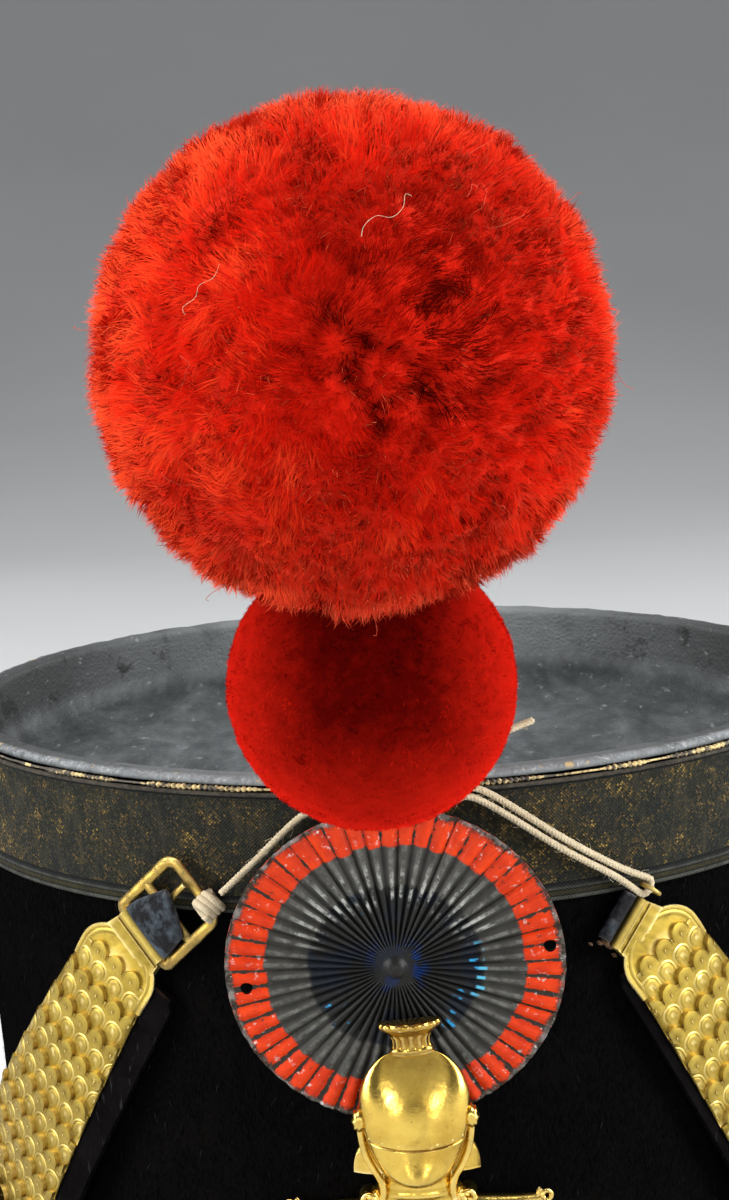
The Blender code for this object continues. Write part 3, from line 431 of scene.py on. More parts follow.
# crossing threads: rounded dots on a slanting net, each with its own chance value
def makeThreads():
    tree, given, put = newGroup("threads", [("Vector", "Vector", None), ("Pitch", "Float", 1.0)],
                                [("Height", "Float"), ("Chance", "Float")])
    across, up, _ = parted(given.outputs["Vector"])
    cells, profile = [], []
    for operation in ("ADD", "SUBTRACT"):
        place = maths("DIVIDE", maths(operation, across, up), given.outputs["Pitch"])
        cells.append(maths("FLOOR", place))
        profile.append(maths("SINE", times(maths("FRACT", place), pi)))
    cell = node(tree, "CombineXYZ", {0: cells[0], 1: cells[1]}).outputs[0]
    tree.links.new(times(*profile), put.inputs["Height"])
    tree.links.new(node(tree, "TexWhiteNoise", {"Vector": cell}).outputs["Value"], put.inputs["Chance"])


def useGroup(name, **inputs):
    tree = owner(*inputs.values())
    item = node(tree, "Group", node_tree=bpy.data.node_groups[name])
    for key, value in inputs.items():
        if isinstance(value, bpy.types.NodeSocket):
            tree.links.new(value, item.inputs[key])
        else:
            item.inputs[key].default_value = value
    return item.outputs


# a new material and the object's own coordinates
def newMaterial(name, **fixed):
    material = bpy.data.materials.new(name)
    material.use_nodes = True
    tree = material.node_tree
    shader = tree.nodes["Principled BSDF"]
    for key, value in fixed.items():
        socket = shader.inputs[key.replace("_", " ")]
        socket.default_value = (*value, 1.0) if isinstance(value, tuple) else value
    return material, node(tree, "TexCoord").outputs["Object"]


# a map's coordinates, in the tree that place belongs to
def mapAt(place, name):
    return node(owner(place), "UVMap", uv_map=name).outputs[0]


# joins what was mixed to the material's own shader; bump is height, strength and distance
def finish(material, colour, roughness=None, metallic=None, bump=None):
    tree = material.node_tree
    joins = {"Base Color": colour, "Roughness": roughness, "Metallic": metallic}
    if bump:
        joins["Normal"] = node(tree, "Bump",
                               dict(zip(("Height", "Strength", "Distance"), bump))).outputs["Normal"]
    for key, value in joins.items():
        if value is not None:
            tree.links.new(value, tree.nodes["Principled BSDF"].inputs[key])
    return material


def feltMaterial():
    look = {"dark": (0.0013, 0.0013, 0.0014), "nap": (0.0035, 0.0035, 0.0038),
            "brown": (0.005, 0.0038, 0.003)}
    material, place = newMaterial("blackFelt", Specular_IOR_Level=0.0)
    long = vectorMaths("DIVIDE", place, (1.0, 1.0, 4.0))
    fibres = spots(long, 2600.0, 4.0, 0.7)
    clouds = spots(place, 60.0, 5.0, 0.6)
    tone = mixed(fade(fibres, 0.38, 0.72), look["dark"], look["nap"])
    tone = mixed(fade(clouds, 0.5, 0.75, 0.5), tone, look["brown"])
    return finish(material, tone, ramp(clouds, (0.3, 0.82), (0.7, 0.95)),
                  bump=(plus(fibres, times(clouds, 1.5)), 0.6, 0.0004))


def crownMaterial():
    look = {"dark": (0.020, 0.023, 0.024), "mid": (0.056, 0.064, 0.067), "pale": (0.125, 0.136, 0.140),
            "light": (0.23, 0.246, 0.248), "tan": (0.44, 0.31, 0.13), "rim": (0.20, 0.215, 0.225),
            "stain": (0.014, 0.016, 0.016)}
    material, place = newMaterial("crownLeather", Specular_IOR_Level=0.25)
    side, _, height = parted(place)
    # marks are drawn out towards the back, so that they look round from the front
    long = vectorMaths("MULTIPLY", place, (1.0, 0.36, 1.0))
    clouds = spots(long, 62.0, 8.0, 0.68, 0.5)
    blotch = spots(long, 260.0, 5.0, 0.66)
    tone = ramp(plus(times(clouds, 0.62), times(blotch, 0.38)),
                (0.36, look["dark"]), (0.50, look["mid"]), (0.66, look["pale"]))
    # the wall is painted paler behind the pompom as painted light, and painted darker towards its sides as
    # painted shade; it is also stained towards its sides
    rise = times(minus(height, 0.1600), 50.0)
    wall = fade(rise, 0.22, 0.50)
    aside = times(maths("ABSOLUTE", side), 10.0)
    sidesInShade = ramp(aside, (0.30, 1.0), (0.62, 0.55), (0.90, 0.22))
    tone = mixed(wall, tone, mixed(1.0, mixed(0.62, tone, look["light"]), sidesInShade, "MULTIPLY"))
    stains = flecks(place, (85.0, 5.0, 0.7), 0.54, 0.62)
    outer = fade(aside, 0.42, 0.72, 0.9)
    tone = mixed(times(stains, outer, wall), tone, look["stain"])
    # painted shade: the leather is darker in the corner where the wall meets the floor
    crease = ramp(rise, (0.10, 1.0), (0.16, 0.72), (0.24, 0.66), (0.40, 1.0))
    tone = mixed(1.0, tone, crease, "MULTIPLY")
    # painted shade: the leather is darker towards the right
    shade = ramp(maths("MULTIPLY_ADD", side, 5.0, 0.5), (0.15, 0.92), (0.50, 0.94), (0.80, 0.82))
    tone = mixed(1.0, tone, shade, "MULTIPLY")
    rubs = flecks(long, (420.0, 3.0, 0.6), 0.64, 0.74, 0.5)
    tone = mixed(rubs, tone, (0.24, 0.25, 0.25))
    # the fold outside the rim is rubbed pale, with bare tan leather where it is knocked
    flat = vectorMaths("SUBTRACT", place, (0.0, 0.001 * hat["shift"], 0.0))
    flat = vectorMaths("MULTIPLY", flat, (1.0, 1.0, 0.0))
    radius = node(owner(flat), "VectorMath", {0: flat}, operation="LENGTH").outputs["Value"]
    fold = fade(times(minus(radius, 0.1070), 200.0), 0.05, 0.35)
    fold = times(fold, fade(times(minus(height, 0.1783), 500.0), 0.0, 0.6))
    dust = ramp(spots(place, 330.0, 5.0, 0.7), (0.36, 0.25), (0.60, 1.0))
    tone = mixed(times(fold, dust), tone, look["rim"])
    pale = flecks(place, (800.0, 3.0, 0.6), 0.56, 0.66, 0.7)
    tone = mixed(times(fold, pale), tone, (0.36, 0.37, 0.36))
    chips = flecks(place, (150.0, 6.0, 0.78), 0.585, 0.615, 0.9)
    tone = mixed(times(chips, fold), tone, look["tan"])
    grain = useGroup("grain", Vector=place, Scale=700.0, Creases=0.8)["Height"]
    return finish(material, tone, ramp(clouds, (0.3, 0.72), (0.7, 0.55)),
                  bump=(plus(grain, times(blotch, 2.0)), 0.4, 0.0006))


def leatherMaterial(name, colour, edge, gloss, coat, wear=0.5, bloom=None):
    material, place = newMaterial(name, Specular_IOR_Level=0.0, Coat_Roughness=0.12, Coat_Weight=coat)
    clouds = spots(place, 120.0, 5.0, 0.6)
    tone = mixed(fade(clouds, 0.4, 0.75, 0.5), colour, tuple(2.0 * c + 0.002 for c in colour))
    if bloom:
        wax = flecks(place, (230.0, 5.0, 0.6), 0.44, 0.62)
        tone = mixed(wax, tone, bloom)
    worn = useGroup("edgeWearAndGlint", Vector=place, Amount=wear, Breakup=500.0)["Mask"]
    tone = mixed(worn, tone, edge)
    rubs = useGroup("scratches", Vector=place, Stretch=(1.0, 1.0, 5.0), Scale=900.0, Amount=0.25)["Mask"]
    tone = mixed(rubs, tone, (0.06, 0.058, 0.058))
    grain = useGroup("grain", Vector=place, Scale=1300.0, Creases=0.5)["Height"]
    return finish(material, tone, ramp(clouds, (0.35, gloss), (0.7, gloss + 0.18)),
                  bump=(grain, 0.18, 0.0003))


def giltMaterial(name, colour, deep, smooth, grimeScale=150.0, patches=0.35, dents=0.25,
                 soil=(0.10, 0.055, 0.018), darkTopFrom=None):
    material, place = newMaterial(name, Metallic=1.0)
    clouds = spots(place, 110.0, 6.0, 0.6, 0.5)
    tone = mixed(fade(clouds, 0.35, 0.7), colour, deep)
    dirt = useGroup("grime", Vector=place, Hollows=0.7, Patches=patches, Scale=grimeScale)["Mask"]
    tone = mixed(dirt, tone, soil)
    # the top is painted darker and browner: partly real stains, partly painted shade standing in for the dark
    # reflection there
    if darkTopFrom:
        height = parted(place)[2]
        above = fade(times(minus(height, darkTopFrom), 80.0), 0.0, 0.75, 0.85)
        stainedAndShaded = ramp(spots(place, 330.0, 5.0, 0.65), (0.34, 0.35), (0.60, 1.0))
        tone = mixed(times(above, stainedAndShaded), tone, (0.27, 0.135, 0.022))
    # edges painted pale gold: partly real wear, partly painted glints
    worn = useGroup("edgeWearAndGlint", Vector=place, Amount=0.5, Breakup=600.0)["Mask"]
    tone = mixed(worn, tone, (0.92, 0.74, 0.32))
    specks = flecks(place, (900.0, 3.0, 0.7), 0.66, 0.72, 0.8)
    tone = mixed(specks, tone, (0.16, 0.10, 0.04))
    gloss = plus(times(clouds, 0.16), smooth)
    gloss = plus(gloss, times(dirt, 0.35), clamp=True)
    height = plus(times(spots(place, 650.0, 3.0), 0.5), clouds)
    return finish(material, tone, gloss, bump=(height, dents, 0.0004))


# paint on the cockade; its map holds the share of the radius and the place within a pleat
def cockadeMaterial():
    look = {"red": (0.62, 0.044, 0.004), "redDeep": (0.40, 0.018, 0.002), "grey": (0.054, 0.052, 0.045),
            "crest": (0.13, 0.13, 0.115), "greyDeep": (0.026, 0.026, 0.023), "dark": (0.011, 0.011, 0.010),
            "blue": (0.02, 0.24, 0.48), "navy": (0.006, 0.011, 0.022), "silver": (0.62, 0.60, 0.56),
            "chip": (0.022, 0.013, 0.008), "boss": (0.014, 0.014, 0.013), "ink": (0.003, 0.018, 0.085)}
    material, place = newMaterial("cockadePaint", Specular_IOR_Level=0.14)
    radius, pleat, _ = parted(mapAt(place, "lay"))
    coarse = spots(place, 260.0, 4.0, 0.6)
    fine = spots(place, 1500.0, 4.0, 0.65)
    wander = maths("MULTIPLY_ADD", minus(coarse, 0.5), 0.03, radius)
    ragged = maths("MULTIPLY_ADD", minus(fine, 0.5), 0.02, wander)
    spot = parted(place)
    right = times(spot[0], 100.0)
    upward = times(minus(spot[2], 0.001 * cockade["height"]), 100.0)

    def beyond(edge, soft=0.006):
        return fade(ragged, edge - soft, edge + soft)

    def around(value, *stops):
        return ramp(maths("MULTIPLY_ADD", value, 0.125, 0.5), *[(0.5 + 0.125 * a, b) for a, b in stops])

    # valley: painted shade, deepest in the pleats' valleys
    valley = ramp(pleat, (0.02, 0.50), (0.30, 0.85), (0.80, 1.0))
    crest = fade(pleat, 0.80, 0.97)
    glintStreaks = flecks(place, (300.0, 4.0, 0.7), 0.46, 0.62)
    # inner ground: black and navy, with painted white and blue glints on the crests
    patches = flecks(place, (90.0, 4.0, 0.65), 0.50, 0.60)
    tone = mixed(times(patches, 0.55), look["dark"], look["navy"])
    ring = ramp(radius, (0.38, 0.0), (0.44, 1.0), (0.60, 1.0), (0.70, 0.0))
    litFromAbove = around(upward, (0.4, 0.0), (0.9, 1.0))
    edgeRing = ramp(radius, (0.475, 0.0), (0.485, 1.0), (0.525, 1.0), (0.535, 0.0))
    side = times(around(right, (1.0, 0.0), (1.4, 1.0)),
                 around(upward, (-0.85, 0.0), (-0.70, 1.0), (0.40, 1.0), (0.55, 0.0)))
    glintBars = flecks(place, (240.0, 2.0, 0.5), 0.44, 0.50)
    blueGlintFlecks = flecks(place, (210.0, 3.0, 0.6), 0.60, 0.64)
    # painted highlights: blue glints on scattered crests
    tone = mixed(times(ramp(radius, (0.38, 0.0), (0.42, 1.0), (0.50, 1.0), (0.53, 0.0)), crest, blueGlintFlecks), tone,
                 look["blue"])
    inky = times(flecks(place, (200.0, 4.0, 0.7), 0.50, 0.58), around(right, (-0.3, 0.40), (0.3, 1.0)))
    tone = mixed(times(ramp(radius, (0.07, 1.0), (0.16, 1.0), (0.22, 0.0)), inky), tone, look["ink"])
    tone = mixed(beyond(0.068, 0.006), look["boss"], tone)
    # grey ring, painted paler on its crests as a highlight
    greyTone = mixed(fade(coarse, 0.35, 0.7), look["grey"], look["greyDeep"])
    greyTone = mixed(times(crest, flecks(place, (420.0, 4.0, 0.7), 0.40, 0.65, 0.8)), greyTone, look["crest"])
    tone = mixed(beyond(0.515, 0.010), tone, greyTone)
    # painted shade in the pleats' valleys
    tone = mixed(1.0, tone, valley, "MULTIPLY")
    # painted highlights: white glints on the crests of the upper half
    tone = mixed(times(ring, litFromAbove, crest, glintStreaks), tone, (0.33, 0.34, 0.31))
    # painted highlights: cyan glints on the crests at the right side
    tone = mixed(times(edgeRing, side, crest, glintBars), tone, (0.08, 0.36, 0.52))
    # red tiles, lost in the valleys and at the ridges' ends
    redTone = mixed(fade(coarse, 0.3, 0.75), look["red"], look["redDeep"])
    lost = maths("MULTIPLY_ADD", minus(spots(place, 520.0, 4.0, 0.6), 0.5), 0.9, pleat)
    lost = plus(lost, around(upward, (-0.5, 0.0), (1.5, 0.16)))
    kept = fade(lost, 0.22, 0.30)
    flakes = ramp(spots(place, 560.0, 5.0, 0.7), (0.63, 1.0), (0.67, 0.0))
    outerWorn = ramp(maths("MULTIPLY_ADD", minus(fine, 0.5), 0.09, radius), (0.955, 1.0), (0.98, 0.0))
    redMask = times(beyond(0.768), kept, flakes, outerWorn)
    ground = mixed(coarse, look["chip"], (0.034, 0.030, 0.022))
    tone = mixed(beyond(0.768), tone, ground)
    tone = mixed(redMask, tone, redTone)
    bare = flecks(place, (640.0, 3.0, 0.6), 0.62, 0.66)
    rimBare = times(fade(radius, 0.966, 0.980, 0.22), fade(coarse, 0.44, 0.6))
    bare = times(bare, ramp(pleat, (0.05, 0.0), (0.25, 1.0), (0.7, 1.0), (0.9, 0.3)),
                 ramp(radius, (0.72, 0.0), (0.80, 0.45), (0.92, 0.6), (0.97, 0.7)))
    bareMask = maths("MAXIMUM", bare, rimBare)
    tone = mixed(bareMask, tone, look["silver"])
    height = plus(times(redMask, 0.8), times(fine, 0.5))
    return finish(material, tone, ramp(fine, (0.3, 0.30), (0.7, 0.46)), metallic=times(bareMask, 0.9),
                  bump=(height, 0.35, 0.0002))


# blackened gold thread; its map is in millimetres round the hat and up the galloon
def laceMaterial():
    look = {"black": (0.004, 0.005, 0.004), "grey": (0.013, 0.015, 0.014), "olive": (0.028, 0.024, 0.010),
            "brown": (0.080, 0.048, 0.015), "gold": (0.30, 0.20, 0.055), "edge": (0.055, 0.056, 0.046)}
    material, place = newMaterial("galloon", Specular_IOR_Level=0.10)
    lay = mapAt(place, "lay")
    along, up, _ = parted(lay)
    weave = useGroup("threads", Vector=lay, Pitch=0.82)
    # lozenges, a repeat of 9.9 by 13 millimetres
    across = maths("DIVIDE", maths("PINGPONG", along, 4.95), 4.95)
    down = maths("DIVIDE", maths("PINGPONG", plus(up, 3.0), 6.5), 6.5)
    lozenge = maths("ABSOLUTE", minus(plus(across, down), 1.0))
    wander = spots(place, 60.0, 6.0, 0.68, 0.6)
    clumps = spots(place, 260.0, 4.0, 0.65)
    luck = plus(times(weave["Chance"], 0.50), times(lozenge, 0.16))
    luck = plus(luck, plus(times(wander, 0.9), times(clumps, 0.75)))
    luck = minus(luck, 0.74)
    dot = fade(weave["Height"], 0.05, 0.55)
    base = mixed(fade(wander, 0.36, 0.60), look["grey"], look["olive"])
    tone = ramp(luck, (0.28, look["black"]), (0.42, look["grey"]), (0.52, look["olive"]),
                (0.64, look["brown"]), (0.82, look["gold"]))
    tone = mixed(times(dot, 0.9), base, tone)
    tone = mixed(minus(0.40, times(dot, 0.40)), tone, look["black"])
    # faded upright smears
    long = vectorMaths("MULTIPLY", lay, (1.0, 0.22, 1.0))
    smears = flecks(long, (0.35, 4.0, 0.6), 0.50, 0.70, 0.55)
    tone = mixed(smears, tone, mixed(clumps, look["grey"], (0.062, 0.048, 0.022)))
    middle = times(maths("GREATER_THAN", up, 4.1), maths("LESS_THAN", up, 26.6))
    height = ramp(maths("DIVIDE", up, 8.0), (0.0, look["grey"]), (0.05, look["edge"]), (0.10, look["edge"]),
                  (0.13, look["black"]), (0.19, look["olive"]), (0.25, look["olive"]), (0.29, look["black"]),
                  (0.34, look["edge"]), (0.40, look["grey"]), (0.47, look["black"]), (0.52, look["black"]))
    rib = mixed(1.0, height, ramp(clumps, (0.35, 0.45), (0.65, 1.0)), "MULTIPLY")
    tone = mixed(middle, mixed(maths("LESS_THAN", up, 10.0), look["black"], rib), tone)
    shiny = times(fade(luck, 0.62, 0.82, 0.5), times(dot, middle))
    return finish(material, tone, ramp(clumps, (0.3, 0.55), (0.7, 0.72)), metallic=shiny,
                  bump=(plus(weave["Height"], times(clumps, 1.2)), 0.5, 0.00025))


def goldThreadMaterial():
    look = {"gold": (0.50, 0.35, 0.115), "pale": (0.62, 0.50, 0.27), "dull": (0.05, 0.040, 0.028)}
    material, place = newMaterial("goldThread", Specular_IOR_Level=0.4)
    wander = spots(place, 110.0, 4.0, 0.65)
    beads = spots(place, 800.0, 2.0, 0.6)
    mask = fade(plus(wander, times(beads, 0.5)), 0.74, 0.86)
    tone = mixed(mask, look["dull"], mixed(beads, look["gold"], look["pale"]))
    return finish(material, tone, ramp(beads, (0.3, 0.38), (0.7, 0.55)), metallic=times(mask, 0.3),
                  bump=(beads, 0.4, 0.0003))


# hair: its map runs along each hair and holds the hair's tone, which on the pompoms also carries painted
# light and shade
def hairMaterial(name, dark, middle, bright, sheen=0.0, sheenTint=(1.0, 0.2, 0.1)):
    material, place = newMaterial(name, Sheen_Weight=sheen, Sheen_Roughness=0.35, Sheen_Tint=sheenTint,
                                  Roughness=0.7, Specular_IOR_Level=0.0)
    along, tone, _ = parted(mapAt(place, "OFBake"))
    # painted shade: each hair is darker towards its root, deep in the pile
    root = ramp(along, (0.0, 0.78), (0.5, 0.95), (1.0, 1.0))
    shade = ramp(tone, (0.0, dark), (0.55, middle), (1.0, bright))
    return finish(material, mixed(1.0, shade, root, "MULTIPLY"))


def clothMaterial(name, colour, deep, scale=1500.0, sheen=0.3, sheenTint=(1.0, 1.0, 1.0), gloss=0.15):
    material, place = newMaterial(name, Sheen_Weight=sheen, Sheen_Tint=sheenTint, Roughness=0.9,
                                  Specular_IOR_Level=gloss)
    fuzz = spots(place, scale, 4.0, 0.7)
    clouds = spots(place, scale / 12.0, 4.0)
    tone = mixed(fade(plus(fuzz, times(clouds, 0.5)), 0.5, 0.95),
                 deep, colour)
    return finish(material, tone, bump=(fuzz, 0.8, 0.0005))


# the ball's core: painted shadow at the front under the tuft, painted light at its sides and foot
def velvetMaterial():
    material, place = newMaterial("velvetCore", Sheen_Weight=0.8, Sheen_Tint=(1.0, 0.02, 0.01), Roughness=0.9,
                                  Specular_IOR_Level=0.0)
    away = parted(vectorMaths("SUBTRACT", place, tuple(toRow(ball["centre"]))))
    size = 1000.0 / ball["radius"]
    aside = fade(times(maths("ABSOLUTE", away[0]), size), 0.30, 0.95)
    below = fade(times(away[2], -size), 0.0, 0.62, 0.85)
    blotch = times(minus(spots(place, 330.0, 4.0, 0.65), 0.5), 0.8)
    share = plus(maths("MAXIMUM", aside, below), blotch, clamp=True)
    return finish(material, mixed(share, (0.036, 0.0005, 0.0003), (0.25, 0.005, 0.002)))


def ironMaterial():
    material, place = newMaterial("darkIron", Metallic=1.0, Base_Color=(0.06, 0.058, 0.055))
    return finish(material, None, ramp(spots(place, 700.0), (0.35, 0.35), (0.7, 0.65)))


def floorMaterial():
    material, place = newMaterial("paleFloor", Roughness=0.85, Specular_IOR_Level=0.2)
    clouds = spots(place, 3.0, 3.0)
    return finish(material, ramp(clouds, (0.3, (0.56, 0.57, 0.58)), (0.7, (0.60, 0.61, 0.62))))


# felt body with a brushed nap

feltBody = {"columns": 240, "rows": 34, "unevenness": 0.22, "napHairs": 34000, "napLength": 2.6,
            "napLift": 0.35}


def makeFelt(material, napMaterial):
    angle = circle(feltBody["columns"])
    arch = archAt(angle)
    top, thick = hat["feltTop"], hat["felt"]
    rows = []
    for t in np.linspace(0, 1, feltBody["rows"]):
        z = arch + 0.7 + (top - 0.7 - arch) * t
        points = wallAt(angle, z, 0.0)
        lumps = np.minimum(rough(points, 14.0) + 0.5 * rough(points, 5.0, 9.0), 0.7) * feltBody["unevenness"]
        rows.append(wallAt(angle, z, lumps - 0.05))
    rows.append(wallAt(angle, top + 0 * angle, -0.6))
    rows.append(wallAt(angle, top + 0 * angle, -thick + 0.5))
    for t in np.linspace(0, 1, 20):
        rows.append(wallAt(angle, top - 0.5 - (top - 1.2 - arch) * t, -thick))
    rows.append(wallAt(angle, arch, -thick + 0.7))
    rows.append(wallAt(angle, arch, -0.7))
    points = np.stack(rows)
    addMesh("feltBody", points, gridFaces(len(rows), len(angle), True, True)[:, ::-1], material,
            ["felt_body"])

    dice = np.random.default_rng(5)
    count = feltBody["napHairs"]
    angle = dice.uniform(0, 2 * pi, count)
    z = dice.uniform(1, 149, count)
    keep = z > archAt(angle) + 4
    angle, z = angle[keep], z[keep]
    count = len(angle)
    length = feltBody["napLength"] * dice.uniform(0.4, 1.2, count)
    sway = dice.normal(0, 0.45, count)
    root = surfaceAt(angle, z, 0.05)
    tipZ = z - length * np.cos(sway)
    tip = surfaceAt(angle + length * np.sin(sway) / 105.0, tipZ,
                    feltBody["napLift"] * dice.uniform(0.4, 1.6, count))
    side = np.cross(tip - root, outward(angle, z))
    side *= (0.075 / np.linalg.norm(side, axis=1))[:, None]
    points = np.stack([root - side, root + side, tip], 1)
    tone = dice.uniform(0.0, 0.8, count) ** 2
    tone[dice.uniform(0, 1, count) > 0.985] = 1.0
    uv = np.zeros((count, 3, 2))
    uv[:, 0], uv[:, 1], uv[:, 2] = (0.0, 0.0), (0.0, 0.008), (1.0, 0.004)
    uv[..., 1] += 0.99 * tone[:, None]
    addMesh("feltNap", points, np.arange(count * 3).reshape(-1, 3), napMaterial, uv=uv,
            uvName="OFBake", sharp=0)


# crown leather: a sunk dish folded over the rim

crownDish = {"columns": 252, "sink": 16.0, "sag": 2.0, "thick": 1.8, "fillet": 5.0, "wrinkle": 0.16}


def makeCrown(material):
    thick, gap = crownDish["thick"], hat["gap"]
    inside = -hat["felt"] - gap - thick
    floorZ = hat["height"] - crownDish["sink"]
    fillet = crownDish["fillet"]
    angle = circle(crownDish["columns"])
    edge = wallAt(angle, floorZ, inside - fillet)
    profile = []
    for share in np.linspace(0.015, 1, 46):
        ring = edge * share
        ring[:, 2] = floorZ - crownDish["sag"] * (1 - share**2)
        profile.append(ring)
    for t in np.linspace(0, pi / 2, 7)[1:]:
        profile.append(wallAt(angle, floorZ + fillet * (1 - math.cos(t)),
                              inside - fillet * (1 - math.sin(t))))
    for z in np.linspace(floorZ + fillet + 1, 178.6, 9):
        profile.append(wallAt(angle, z, inside))
    outside = gap + thick
    for off, z in ((inside + 0.12, 179.3), (inside + 0.5, 179.75), (inside + 1.2, 180.0), (-2.0, 180.05),
                   (-0.6, 180.05), (0.7, 180.0), (outside - 0.55, 179.75), (outside - 0.1, 179.4),
                   (outside + 0.03, 179.0), (outside, 178.6), (outside - 0.2, 178.25), (outside - 0.5, 178.1),
                   (gap + 0.1, 178.1), (gap, 178.2), (-2.8, 178.3)):
        profile.append(wallAt(angle, z, off))
    for z in np.linspace(176.0, floorZ - 1.0, 4):
        profile.append(wallAt(angle, z, -hat["felt"] - gap))
    under = wallAt(angle, floorZ - thick, -hat["felt"] - gap - 1.0)
    for share in np.linspace(1, 0.015, 14):
        ring = under * share
        ring[:, 2] = floorZ - thick - crownDish["sag"] * (1 - share**2)
        profile.append(ring)
    points = np.stack(profile)
    flat = points.reshape(-1, 3)
    radius = np.hypot(points[..., 0], points[..., 1])
    seen = (np.arange(len(profile)) < 66)[:, None] * ease(radius, 0, 12)
    creases = rough(points, 21.0, 3.0) + 0.55 * rough(points, 8.0, 5.0) + 0.3 * rough(points, 3.5, 7.0)
    folds = rough(stacked(np.cos(angle), np.sin(angle), 0.0) * 60.0, 3.4, 1.0)[None]
    folds = folds * bump(points[..., 2], 171, 6)
    normalZ = np.where(points[..., 2] < floorZ + 1.0, 1.0, 0.35)
    points[..., 2] += seen * creases * crownDish["wrinkle"] * normalZ
    # the fold over the rim is uneven
    lip = bump(points[..., 2], 179.6, 0.9) * ease(radius, 103.0, 106.0)
    points[..., 2] += lip * 0.42 * rough(points, 3.2, 11.0)
    points[..., :2] *= (1 + lip * 0.0028 * rough(points, 2.4, 12.0))[..., None]
    inward = -points[..., :2] / np.maximum(radius, 1)[..., None]
    points[..., :2] += inward * (seen * (0.25 * folds + 0.12 * creases))[..., None]
    faces = gridFaces(len(profile), len(angle), False, True)
    centre = np.array([[0, 0, floorZ - crownDish["sag"]], [0, 0, floorZ - thick - crownDish["sag"]]])
    start, n = len(flat), len(angle)
    j = np.arange(n)
    fans = np.concatenate([stacked(start, (j + 1) % n, j), start - n + stacked(n + 1, j, (j + 1) % n)])
    addMesh("crownLeather", np.concatenate([points.reshape(-1, 3), centre]), [faces[:, ::-1], fans[:, ::-1]],
            material, ["crown_leather"], sharp=70)


# galloon with its ridges, and the gold thread along its upper edge

galloon = {"foot": 148.4, "top": 176.2, "thick": 1.2, "columns": 512, "rows": 36, "relief": 0.035}
goldThread = {"height": 177.45, "off": 2.25, "radius": 0.62, "beads": 520}
edgeCord = {"height": 176.15, "off": 1.95, "radius": 0.56}


def makeGalloon(material, threadMaterial, cordMaterial):
    columns, rows = galloon["columns"], galloon["rows"]
    angle = 2 * pi * np.arange(columns + 1) / columns
    up = np.linspace(0, galloon["top"] - galloon["foot"], rows)
    along = angle * hat["rimRadius"]
    turned = np.abs((along + 8.2) % 16.4 - 8.2)
    bands = np.sin(1.12 * (up[:, None] + 1.25 * turned[None]))
    face = galloon["relief"] * bands * ((up > 4) & (up < 25.6))[:, None]
    edges = 0.26 * ease(up, 4.0, 3.4) * (0.55 + 0.6 * bump(up, 0.7, 0.45) + 0.6 * bump(up, 2.9, 0.4))
    edges += -0.25 * bump(up, 4.2, 0.4) - 0.3 * bump(up, 25.4, 0.35) + 0.22 * bump(up, 26.6, 0.55)
    grid = wallAt(angle[None], galloon["foot"] + up[:, None], 0.0)
    worn = 0.12 * rough(grid[:, :-1], 9.0, 2.0)
    worn = np.concatenate([worn, worn[:, :1]], 1)
    off = hat["gap"] + galloon["thick"] + face + edges[:, None] + worn
    outer = wallAt(angle[None], galloon["foot"] + up[:, None], off)
    back = [wallAt(angle, galloon[key] + 0 * angle, hat["gap"]) for key in ("top", "foot")]
    points = np.concatenate([outer, np.stack(back)])
    uv = np.zeros(points.shape[:2] + (2,))
    uv[:rows, :, 0], uv[:rows, :, 1] = along[None], up[:, None]
    uv[rows:, :, 0], uv[rows:, :, 1] = along[None], np.array([29.5, -1.0])[:, None]
    addMesh("galloon", points, gridFaces(rows + 2, columns + 1, True, False)[:, ::-1], material,
            ["top_lace"], uv)

    each = 4
    count = goldThread["beads"] * each
    angle = circle(count)
    path = wallAt(angle, goldThread["height"] + 0 * angle, goldThread["off"])
    path[:, 2] += 0.10 * rough(path, 4.0, 8.0)
    gone = ease(rough(path, 13.0, 6.0), 0.30, 0.05)
    swell = np.array([0.34, 1.02, 1.14, 1.0])[np.arange(count) % each]
    dice = np.random.default_rng(7)
    swell = swell * np.repeat(dice.uniform(0.85, 1.08, goldThread["beads"]), each)
    radii = goldThread["radius"] * (0.42 * (1 - gone) + gone * swell)
    addParts("goldThread", [tube(path, 1.0, 6, True, radii=radii)], threadMaterial, sharp=0)
    path = wallAt(circle(540), edgeCord["height"], edgeCord["off"])
    radii = edgeCord["radius"] * (1 + 0.08 * rough(path, 1.5))
    addParts("edgeCord", [tube(path, 1.0, 6, True, radii=radii)], cordMaterial, sharp=0)


# foot band and peak, both of polished leather, with their stitches

footBand = {"thick": 1.6, "foot": 1.0, "top": 24.0, "stitch": 3.4, "stitchRadius": 0.3}
peakShape = {"thick": 2.5, "halfAngle": 62.0, "reach": 45.0, "cornerReach": 4.0, "seat": 3.5, "columns": 116,
             "rows": 28}


def stitchRow(path, step, radius, lift):
    parts = []
    path = smoothPath(path, step)
    for a, b in zip(path[:-1], path[1:]):
        run = [a + (b - a) * t for t in (0.12, 0.3, 0.5, 0.7, 0.88)]
        rise = np.array([0.0, 0.8, 1.0, 0.8, 0.0]) * radius
        parts.append(tube(np.array(run) + lift(a)[None] * rise[:, None], radius, 5))
    return parts


def bandFootAt(angle):
    degrees = np.degrees((np.asarray(angle, float) + pi) % (2 * pi) - pi)
    reach = np.clip((peakShape["halfAngle"] + 7.5 - np.abs(degrees)) / 7.5, 0, 1)
    return footBand["foot"] + (archAt(angle) + peakShape["seat"] + 0.5 - footBand["foot"]) * reach


